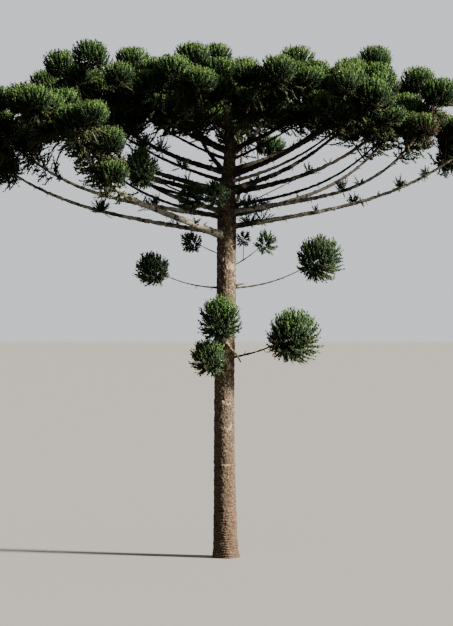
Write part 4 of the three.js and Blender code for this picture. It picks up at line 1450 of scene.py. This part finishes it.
@functools.cache
def leaf_materials():
    """The tints of the leaves, in the order of the slots."""
    leaves = bpy.context.scene.pine_leaves
    return (
        # The fresh tint is partly painted light, and the deep tint is painted shade
        soft_tint("leaf_fresh_and_lit", leaves.fresh, roughness=0.53, vary=0.18, shine=0.25),
        soft_tint("leaf_green", leaves.green, roughness=0.56, vary=0.2, shine=0.25),
        soft_tint("leaf_young", leaves.young, roughness=0.56, vary=0.2, shine=0.25),
        soft_tint("leaf_deep_shade", leaves.deep, roughness=0.75, vary=0.2, shine=0.15),
        soft_tint("leaf_olive", leaves.olive, roughness=0.68, vary=0.25, shine=0.25),
        soft_tint("leaf_dry", leaves.dry, roughness=0.75, vary=0.3, shine=0.5),
    )


# Wood
def deselect_all():
    bpy.ops.object.select_all(action="DESELECT")


def coordinates(mesh):
    points = np.zeros(len(mesh.vertices) * 3)
    mesh.vertices.foreach_get("co", points)
    return points.reshape(-1, 3)


def store_values(mesh, name, values):
    """Keeps a value from 0 to 1 at each point, for the material."""
    attribute = mesh.attributes.new(name, "FLOAT", "POINT")
    attribute.data.foreach_set("value", np.clip(values, 0, 1).astype(np.float32))


def extruded_tube():
    """An open upright tube, drawn up from a circle ring by ring and subdivided."""
    deselect_all()
    bpy.ops.mesh.primitive_circle_add(vertices=TRUNK_SIDES, radius=STEM_RADIUS, fill_type="NOTHING")
    tube_object = bpy.context.active_object
    bpy.ops.object.mode_set(mode="EDIT")
    heights = TRUNK_TOP * (np.arange(TRUNK_RINGS + 1) / TRUNK_RINGS) ** RING_CROWDING
    for rise in np.diff(heights):
        bpy.ops.mesh.extrude_region_move(TRANSFORM_OT_translate={"value": (0, 0, rise)})
    bpy.ops.object.mode_set(mode="OBJECT")
    finer = tube_object.modifiers.new("finer", "SUBSURF")
    finer.levels = TRUNK_LEVELS
    finer.render_levels = TRUNK_LEVELS
    bpy.ops.object.modifier_apply(modifier=finer.name)
    return tube_object


MERGE_WITHIN = 1e-5
SMOOTH_UP_TO = math.radians(60)

# Cracks between plates: how finely and how far their edges wander, and their width as a share of a plate
CRACK_SHAKE_SCALE = 9
CRACK_SHAKE = 0.35
CRACK_WIDTH = 0.32


def plate_relief(points, width, height):
    """How deep each point is in the cracks of plates of that width and height, from 0 to 1."""
    depth = np.zeros(len(points))
    for i, (x, y, z) in enumerate(points):
        shake = noise.noise(Vector((x, y, z)) * CRACK_SHAKE_SCALE) * CRACK_SHAKE
        spot = Vector((x / width + shake, y / width, z / height + shake))
        nearest = noise.voronoi(spot)[0]
        depth[i] = max(0.0, 1 - (nearest[1] - nearest[0]) / CRACK_WIDTH)
    return depth


def turn_from(angle, place):
    """The turn from a place to an angle, from minus to plus half a turn."""
    return (angle - place + math.pi) % (2 * math.pi) - math.pi


# Old branch scars stand in whorls at these heights. Each is a raised lip round a hollow.
WHORLS = (1.2, 2.55, 3.6, 4.2, 5.2, 5.75, 6.6, 7.4, 8.1, 8.7)
SCARS_PER_WHORL = 4
SCAR_TURNS = (-0.3, 0.3)
SCAR_RISES = (-0.08, 0.08)
SCAR_WIDTHS = (0.07, 0.15)
SCAR_HEIGHTS = (0.022, 0.042)
SCAR_LIPS = (0.5, 1.0)
SCAR_HOLLOWS = (0.6, 1.2)
LIP_SHARPNESS = 1.2
LIP_END = 4
HOLLOW_SHARPNESS = 1.6


def scar_relief(angle, height, random):
    """Old branch scars: how far they stand out and how hollow their middles are."""
    raised = np.zeros(len(angle))
    hollow = np.zeros(len(angle))
    for whorl in WHORLS:
        for k in range(SCARS_PER_WHORL):
            place = 2 * math.pi * (k + random.uniform(*SCAR_TURNS)) / SCARS_PER_WHORL + whorl
            level = whorl + random.uniform(*SCAR_RISES)
            wide = random.uniform(*SCAR_WIDTHS)
            high = random.uniform(*SCAR_HEIGHTS)
            turn = turn_from(angle, place)
            away = (turn * STEM_RADIUS / wide) ** 2 + ((height - level) / high) ** 2
            lip = np.exp(-((away - 1) ** 2) * LIP_SHARPNESS) * (away < LIP_END)
            raised += random.uniform(*SCAR_LIPS) * lip
            hollow += random.uniform(*SCAR_HOLLOWS) * np.exp(-away * HOLLOW_SHARPNESS)
    return raised, hollow


# Pale scars on the side that the photo shows: azimuth, height, half width and half height
PALE_SCARS = (
    (-86, 4.22, 0.07, 0.05), (-70, 4.18, 0.13, 0.022), (-84, 3.52, 0.13, 0.05),
    (-66, 3.50, 0.08, 0.03), (-72, 2.52, 0.15, 0.018), (-60, 5.15, 0.10, 0.05),
    (-78, 6.35, 0.07, 0.10), (-62, 7.9, 0.09, 0.12), (-70, 8.5, 0.10, 0.10),
    (95, 3.9, 0.15, 0.03), (150, 2.7, 0.14, 0.028), (60, 5.4, 0.12, 0.04), (120, 6.9, 0.08, 0.10),
)
PALE_RAGGED = 1.6
PALE_EDGE = (2.2, 2)  # paleness at the middle of a scar, and how fast it fades

# The relief of the trunk in metres, and what is left of it where the trunk is slim
TRUNK_SEED = 5
ROUGH_SCALE = 7.0
ROUGH_DEPTH = 0.012
LIP_HEIGHT = 0.016
HOLLOW_DEPTH = 0.014
PALE_HEIGHT = 0.012
SLIMMEST = 0.25
# The wrinkles round the foot wander by the roughness, and by two waves round the trunk
RING_ROUGH = 3.4
RING_WAVES = ((1.2, 2, 0), (0.7, 5, 3))  # how much, turns round, and turn with height
# How dark the cracks and creases are, and how much of the cracks the foot loses. The cracks' darkness is
# partly the bark's own and partly painted shade, and that of the creases is painted shade
FOOT_SMOOTH = 0.6
CRACK_DARK = 0.8
FOOT_PALE = 0.5
CREASE_SHADE = 0.9


def pale_scars(angle, height, rough):
    """Where the bark is pale, from 0 to 1."""
    pale = np.zeros(len(angle))
    middle, fade = PALE_EDGE
    for azimuth, level, wide, high in PALE_SCARS:
        turn = turn_from(angle, math.radians(azimuth))
        away = np.hypot(turn * STEM_RADIUS / wide, (height - level) / high) + PALE_RAGGED * rough
        pale = np.maximum(pale, np.clip(middle - fade * away, 0, 1))
    return pale


# The roughness of bark: how fast finer waves fade, how much finer each is, and how many there are
WAVE_FADE = 1.0
WAVE_FINER = 2.0
WAVES = 4


def roughness_at(points, scale):
    return np.array([noise.fractal(Vector(p) * scale, WAVE_FADE, WAVE_FINER, WAVES) for p in points])


def make_trunk(wood):
    """The trunk: lean, taper, flare and lobes as the solid has them, with the relief of its bark."""
    trunk = extruded_tube()
    trunk.name = "bark_trunk"
    trunk.data.name = "bark_trunk"
    points = coordinates(trunk.data)
    angle = np.arctan2(points[:, 1], points[:, 0])
    height = np.clip(points[:, 2], 0, TRUNK_TOP)
    lobes = FLARE_LOBE_DEPTH * FLARE * np.exp(-height / FLARE_FADE) * np.cos(FLARE_LOBES * angle)
    radius = np.array([trunk_radius(z) for z in height]) + lobes
    skin = np.stack((radius * np.cos(angle), radius * np.sin(angle), height), 1)
    cracks = plate_relief(skin, wood.plate_width, wood.plate_height)
    lips, hollows = scar_relief(angle, height, np.random.default_rng(TRUNK_SEED))
    rough = roughness_at(skin, ROUGH_SCALE)
    pale = pale_scars(angle, height, rough)
    foot = np.exp(-(height / wood.ring_zone) ** 2)
    drift = RING_ROUGH * rough
    for amount, round_it, rising in RING_WAVES:
        drift = drift + amount * np.sin(round_it * angle + rising * height)
    wrinkle = np.sin(2 * math.pi * height / wood.ring_spacing + drift)
    slim = np.clip(radius / STEM_RADIUS, SLIMMEST, 1)
    relief = wood.ring_depth * wrinkle * foot - wood.plate_depth * cracks * (1 - FOOT_SMOOTH * foot)
    relief += (ROUGH_DEPTH * rough + LIP_HEIGHT * lips - HOLLOW_DEPTH * hollows) * slim
    radius = radius + (relief + PALE_HEIGHT * pale) * slim
    centres = np.array([along(LEAN, z) for z in height])
    placed = np.stack((centres + radius * np.cos(angle), radius * np.sin(angle), height), 1)
    trunk.data.vertices.foreach_set("co", placed.astype(np.float32).ravel())
    # Kept for the material as hollow: painted shade in the creases and scar hollows, and the cracks' darker
    # bark with painted shade in them
    creases = np.clip(-wrinkle, 0, 1) ** 2 * foot * CREASE_SHADE
    dark = np.maximum(cracks * CRACK_DARK * (1 - FOOT_PALE * foot), np.maximum(hollows, creases))
    store_values(trunk.data, "pale", pale)
    store_values(trunk.data, "hollow", dark * (1 - pale))
    close_ends(trunk)
    trunk.data.materials.append(trunk_material())
    return trunk


def close_ends(piece):
    """Fills the lowest and highest loops of an open tube."""
    heights = coordinates(piece.data)[:, 2]
    for level in (heights.min(), heights.max()):
        bpy.ops.object.mode_set(mode="EDIT")
        bpy.ops.mesh.select_mode(type="VERT")
        bpy.ops.mesh.select_all(action="DESELECT")
        bpy.ops.object.mode_set(mode="OBJECT")
        chosen = np.abs(coordinates(piece.data)[:, 2] - level) < MERGE_WITHIN
        piece.data.vertices.foreach_set("select", chosen)
        bpy.ops.object.mode_set(mode="EDIT")
        bpy.ops.mesh.edge_face_add()
        bpy.ops.object.mode_set(mode="OBJECT")
    bpy.ops.object.mode_set(mode="EDIT")
    bpy.ops.mesh.select_all(action="SELECT")
    bpy.ops.mesh.normals_make_consistent(inside=False)
    bpy.ops.object.mode_set(mode="OBJECT")
    bpy.ops.object.shade_smooth_by_angle(angle=SMOOTH_UP_TO)


def limb_curve(limb):
    """A limb drawn as a curve with a round bevel, made a mesh."""
    first = limb.surfacing()
    steps = max(LIMB_STEPS, round(limb.reach * (1 - first) / LIMB_STEP))
    shares = first + (1 - first) * np.arange(steps + 1) / steps
    line = bpy.data.curves.new(limb.name, "CURVE")
    line.dimensions = "3D"
    line.bevel_depth = 1.0
    line.bevel_resolution = LIMB_SIDES - 2
    line.use_fill_caps = True
    line.twist_mode = "MINIMUM"
    spline = line.splines.new("POLY")
    spline.points.add(steps)
    for point, t in zip(spline.points, np.clip(shares, 0, 1)):
        point.co = (*limb.point(t), 1)
        point.radius = limb.radius(t)
    piece = bpy.data.objects.new(f"limb_{limb.name}", line)
    bpy.context.scene.collection.objects.link(piece)
    deselect_all()
    piece.select_set(True)
    bpy.context.view_layer.objects.active = piece
    bpy.ops.object.convert(target="MESH")
    bpy.ops.object.mode_set(mode="EDIT")
    bpy.ops.mesh.select_all(action="SELECT")
    bpy.ops.mesh.remove_doubles(threshold=MERGE_WITHIN)
    bpy.ops.mesh.normals_make_consistent(inside=False)
    bpy.ops.object.mode_set(mode="OBJECT")
    return bpy.context.active_object


# How much lichen there is on the boughs of each tier or shoot, partly painted light: more on the sunlit low
# boughs and shoot stem, less in the crown's shade. The others have the last value
LICHEN_AND_LIGHT = {
    "tier1_b": 1.2, "tier1_c": 0.75, "tier1": 0.65, "tier2_b": 0.72, "tier2_d": 0.2, "tier2": 0.6,
    "tier3": 0.3, "shoot_right": 1.2, "shoot_lower_right": 0.1,
}
LICHEN_ELSEWHERE = 0.05
# Old leaf bases and bark scales make the upper boughs thicker by this, from their roots on
CRUST = {"tier2": 0.006, "tier3": 0.012, "tier4": 0.018, "tier5": 0.018}
CRUST_FADE = 1.2
LUMP_SCALE = 9.0
LUMP_HEIGHT = 1.1
KNOB_SCALE = 24
KNOB_HEIGHT = 0.5
LIMB_PLATE = 0.05
LIMB_CRACK = 0.4
RELIEF_SCALES = (4, 0.15, 1)  # with the limb's thickness, and the least and most of it
# How dark a limb's cracks are, partly its own bark and partly painted shade, and the painted shade in the
# dips between its lumps
LIMB_CRACK_DARK = 0.7
DIP_SHADE = 0.5


def make_limb(limb, wood):
    """A limb with lumps, scars and cracks in its bark."""
    piece = limb_curve(limb)
    points = coordinates(piece.data)
    normals = np.zeros(points.size)
    piece.data.vertices.foreach_get("normal", normals)
    normals = normals.reshape(-1, 3)
    share = np.clip(((points - limb.root) @ limb.outward) / limb.reach, 0, 1)
    thick = np.array([limb.radius(t) for t in share]) / STEM_RADIUS
    lumps = roughness_at(points, LUMP_SCALE)
    knobs = np.array([noise.noise(Vector(p) * KNOB_SCALE) for p in points])
    cracks = plate_relief(points, LIMB_PLATE, LIMB_PLATE)
    growth, least, most = RELIEF_SCALES
    relief = LUMP_HEIGHT * lumps + KNOB_HEIGHT * knobs - LIMB_CRACK * cracks
    relief = wood.limb_relief * relief * np.clip(thick * growth, least, most)
    relief += CRUST.get(limb.group, 0) * np.clip(CRUST_FADE * (1 - share), 0, 1)
    moved = points + normals * relief[:, None]
    piece.data.vertices.foreach_set("co", moved.astype(np.float32).ravel())
    # Darker in the cracks, and painted shade in the dips between the lumps
    store_values(piece.data, "hollow", cracks * LIMB_CRACK_DARK + np.clip(-lumps, 0, 1) * DIP_SHADE)
    # More lichen on sunlit limbs and less in the crown's shade: partly painted light
    lichen = LICHEN_AND_LIGHT.get(limb.name, LICHEN_AND_LIGHT.get(limb.group, LICHEN_ELSEWHERE))
    store_values(piece.data, "lichen", np.full(len(points), lichen))
    piece.data.update()
    bpy.ops.object.shade_smooth_by_angle(angle=SMOOTH_UP_TO)
    piece.data.materials.append(limb_material())
    return piece


# Dead branches on the trunk: four points along each, and its radius
DEAD_STICKS = (
    ((0.05, -0.25, 5.80), (0.14, -0.37, 5.68), (0.30, -0.40, 5.52), (0.42, -0.38, 5.31), 0.042),
    ((0.22, -0.06, 7.35), (0.34, -0.10, 7.42), (0.44, -0.10, 7.44), (0.58, -0.10, 7.46), 0.036),
)
STICK_THINS = np.array((1, 0.9, 0.75, 0.4))
STICK_SIDES = 7
STUB_SEED = 41
STUBS_PER_METRE = 2.4
STUB_FIRST = 0.12
STUB_ASIDE = (-1, 1)
STUB_RISE = (-1, 0.6)
STUB_SEAT = 0.6  # of the bough's radius
STUB_OUT = 0.4  # as far out as this share of the radius, and this many metres more
STUB_LENGTHS = (0.02, 0.12)
STUB_LEAN = 0.4
STUB_RADII = (0.012, 0.010, 0.005)
STUB_SIDES = 5
TWIG_BOW = 0.05
TWIG_POINTS = 7
TWIG_SIDES = 6


def stick_tubes():
    """The dead branches left on the trunk."""
    return [tube(np.array(places), radius * STICK_THINS, STICK_SIDES) for *places, radius in DEAD_STICKS]


def stub_tubes(limbs):
    """Short dead stubs along the bare boughs."""
    random = np.random.default_rng(STUB_SEED)
    tubes = []
    for limb in limbs:
        for _ in range(round(STUBS_PER_METRE * limb.reach * limb.bare)):
            t = random.uniform(STUB_FIRST, limb.bare)
            lean = unit(limb.sideways * random.uniform(*STUB_ASIDE) + UP * random.uniform(*STUB_RISE))
            foot = limb.point(t) + lean * limb.radius(t) * STUB_SEAT
            out = limb.radius(t) * STUB_OUT + random.uniform(*STUB_LENGTHS)
            tip = foot + unit(lean + limb.outward * STUB_LEAN) * out
            tubes.append(tube(np.array((foot, (foot + tip) / 2, tip)), STUB_RADII, STUB_SIDES))
    return tubes


def side_twig_tube(twig):
    """A side twig, bowed a little so that its end turns up."""
    shares = np.linspace(0, 1, TWIG_POINTS)
    bow = bow_of(twig.direction, twig.length, TWIG_BOW)
    centres = [twig.point(t) + bow * 4 * t * (1 - t) for t in shares]
    radii = [twig.radius * (1 - (1 - TWIG_END) * t) for t in shares]
    return tube(np.array(centres), radii, TWIG_SIDES)


# Steps
# The first seeds of the sprays of each group, and of their leaves
SPRAY_SEED = 1000
LEAF_SEED = 50
SLENDER_SEEDS = (1100, 70)
SPRIG_SEEDS = (77, 78)

FLOOR_SIZE = 900
FLOOR_ROUGHNESS = 0.9
KEY_DISTANCE = 30
SENSOR_WIDTH = 36
FURTHEST_SEEN = 2000


def settle(piece, nodes=()):
    """The piece rides with the tree, and stands for the given nodes."""
    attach(piece, BODY)
    if nodes:
        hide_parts(*nodes)


class PINE_OT_stage(bpy.types.Operator):
    """Lay the floor, hang the lights and set up the camera"""

    bl_idname = "pine.stage"
    bl_label = "Stage"

    def execute(self, context):
        stage = context.scene.pine_stage
        self.lay_floor(stage)
        self.light(context, stage)
        self.aim_camera(context, stage)
        return {"FINISHED"}

    def lay_floor(self, stage):
        deselect_all()
        bpy.ops.mesh.primitive_plane_add(size=FLOOR_SIZE)
        floor = bpy.context.active_object
        floor.name = "floor"
        floor.data.materials.append(self.floor_paint(stage))

    def floor_paint(self, stage):
        """Pale paint that throws little light back up at the tree."""
        material, tree, shader = new_material("floor_paint")
        seen = add_node(tree, "ShaderNodeLightPath").outputs["Is Camera Ray"]
        tree.links.new(mix_colours(tree, seen, stage.bounce, stage.floor), shader.inputs["Base Color"])
        shader.inputs["Roughness"].default_value = FLOOR_ROUGHNESS
        return material

    def light(self, context, stage):
        flat = math.cos(stage.key_elevation)
        towards = Vector((
            math.sin(stage.key_azimuth) * flat,
            -math.cos(stage.key_azimuth) * flat,
            math.sin(stage.key_elevation)))
        deselect_all()
        bpy.ops.object.light_add(type="SUN", location=towards * KEY_DISTANCE)
        key = bpy.context.active_object
        key.name = "key"
        key.rotation_euler = towards.to_track_quat("Z", "Y").to_euler()
        key.data.energy = stage.key
        key.data.angle = stage.key_softness
        key.data.color = stage.key_warmth
        world = bpy.data.worlds.new("backdrop")
        world.use_nodes = True
        tree = world.node_tree
        background = tree.nodes["Background"]
        background.inputs["Color"].default_value = (*stage.sky, 1)
        seen = add_node(tree, "ShaderNodeLightPath").outputs["Is Camera Ray"]
        strength = map_range(tree, seen, 0.0, 1.0, stage.fill, stage.backdrop)
        tree.links.new(strength, background.inputs["Strength"])
        context.scene.world = world

    def aim_camera(self, context, stage):
        deselect_all()
        place = (stage.camera_side, -stage.camera_distance, stage.camera_height)
        bpy.ops.object.camera_add(location=place, rotation=(math.pi / 2, 0, 0))
        camera = bpy.context.active_object
        camera.name = "camera"
        camera.data.sensor_width = SENSOR_WIDTH
        camera.data.lens = stage.lens
        camera.data.clip_end = FURTHEST_SEEN
        context.scene.camera = camera


class PINE_OT_trunk(bpy.types.Operator):
    """Model the trunk with its flare, taper, lean and bark"""

    bl_idname = "pine.trunk"
    bl_label = "Trunk"

    def execute(self, context):
        settle(make_trunk(context.scene.pine_wood), ["trunk"])
        return {"FINISHED"}


class PINE_OT_limbs(bpy.types.Operator):
    """Model each limb from the trunk to its tip"""

    bl_idname = "pine.limbs"
    bl_label = "Limbs"

    def execute(self, context):
        limbs, _ = grown_tree()
        for limb in limbs + slender_limbs():
            piece = make_limb(limb, context.scene.pine_wood)
            settle(piece, [limb.bough] if limb.bough else [])
        return {"FINISHED"}


class PINE_OT_twigs(bpy.types.Operator):
    """Grow the side twigs, and leave the dead stubs"""

    bl_idname = "pine.twigs"
    bl_label = "Twigs and stubs"

    def execute(self, context):
        limbs, _ = grown_tree()
        twigs = [side_twig_tube(twig) for limb in limbs for twig in limb.placed + limb.fine]
        boughs = [limb for limb in limbs if limb.bough] + slender_limbs()
        for name, tubes, material in (
                ("side_twigs", twigs, twig_material()),
                ("dead_stubs", stub_tubes(boughs), limb_material()),
                ("dead_branches", stick_tubes(), dead_material())):
            piece = joined_mesh(name, *join_parts(tubes))
            piece.data.materials.append(material)
            settle(piece)
        return {"FINISHED"}


class PINE_OT_foliage(bpy.types.Operator):
    """Grow the sprays of every tuft and the strands along the twigs, with their leaves"""

    bl_idname = "pine.foliage"
    bl_label = "Foliage"

    def execute(self, context):
        settings = context.scene.pine_leaves
        limbs, layout = grown_tree()
        for number, group in enumerate(sorted({limb.group for limb in limbs})):
            random = np.random.default_rng(SPRAY_SEED + number)
            owned = [limb for limb in limbs if limb.group == group]
            nodes = [limb.foliage for limb in owned]
            if group == f"tier{len(TIERS)}":
                nodes.append("foliage_apex")
            domes = Sprays(settings.spray_leaves, *DOME_KIND)
            for tuft in layout.tufts:
                if tuft.owner in nodes:
                    tuft_sprays(tuft, layout, settings.sprays, domes, random)
            young = group == "shoots"
            strands = self.strands([] if young else owned, layout, settings, random)
            foliage_pieces(group, (domes, strands), nodes, settings, LEAF_SEED + number)
        spray_seed, leaf_seed = SLENDER_SEEDS
        living = [limb for limb in slender_limbs() if limb.bare < 1]
        strands = self.strands(living, layout, settings, np.random.default_rng(spray_seed))
        foliage_pieces("slender", (strands,), (), settings, leaf_seed)
        return {"FINISHED"}

    def strands(self, limbs, layout, settings, random):
        strands = Sprays(settings.strand_leaves, *STRAND_KIND)
        for limb in limbs:
            strand_sprays(limb, layout, settings.strands, strands, random)
        return strands


class PINE_OT_sprigs(bpy.types.Operator):
    """Grow small sprigs on the boughs"""

    bl_idname = "pine.sprigs"
    bl_label = "Sprigs"

    def execute(self, context):
        limbs, layout = grown_tree()
        settings = context.scene.pine_leaves
        spray_seed, leaf_seed = SPRIG_SEEDS
        random = np.random.default_rng(spray_seed)
        sprays = Sprays(settings.spray_leaves, *STRAND_KIND)
        by_name = {limb.name: limb for limb in limbs + slender_limbs()}
        for name, t, reach, count in SPRIGS:
            sprig(by_name[name], t, reach, count, layout, sprays, random)
        for limb in limbs:
            if not limb.bough or limb.group == "shoots":
                continue
            for _ in range(round(SPRIGS_PER_METRE * limb.reach * random.uniform(*SPRIGS_VARY))):
                t = random.uniform(SPRIG_FIRST, limb.bare)
                sprig(limb, t, SPRIG_REACH, random.integers(*SPRIG_COUNTS), layout, sprays, random)
        foliage_pieces("sprigs", (sprays,), (), settings, leaf_seed)
        return {"FINISHED"}


class PINE_PT_panel(bpy.types.Panel):
    """The steps of the tree in the order in which they are run"""

    bl_idname = "PINE_PT_panel"
    bl_label = "Parana Pine"
    bl_space_type = "VIEW_3D"
    bl_region_type = "UI"
    bl_category = "Parana Pine"

    def draw(self, context):
        for operator in OPERATORS:
            self.layout.operator(operator.bl_idname)
        for group in (context.scene.pine_wood, context.scene.pine_leaves, context.scene.pine_stage):
            column = self.layout.column(align=True)
            for key in group.bl_rna.properties.keys():
                if key not in ("rna_type", "name"):
                    column.prop(group, key)


SETTINGS = {
    "pine_wood": PineWoodSettings,
    "pine_leaves": PineLeafSettings,
    "pine_stage": PineStageSettings,
}
OPERATORS = (
    PINE_OT_stage,
    PINE_OT_trunk,
    PINE_OT_limbs,
    PINE_OT_twigs,
    PINE_OT_foliage,
    PINE_OT_sprigs,
)


def register():
    for made in (*SETTINGS.values(), *OPERATORS, PINE_PT_panel):
        bpy.utils.register_class(made)
    for name, group in SETTINGS.items():
        setattr(bpy.types.Scene, name, PointerProperty(type=group))


def unregister():
    for name in SETTINGS:
        delattr(bpy.types.Scene, name)
    for made in (PINE_PT_panel, *reversed(OPERATORS), *reversed(SETTINGS.values())):
        bpy.utils.unregister_class(made)


def main():
    """Runs every step."""
    register()
    bpy.ops.pine.stage()
    bpy.ops.pine.trunk()
    bpy.ops.pine.limbs()
    bpy.ops.pine.twigs()
    bpy.ops.pine.foliage()
    bpy.ops.pine.sprigs()


if __name__ == "__main__":
    main()
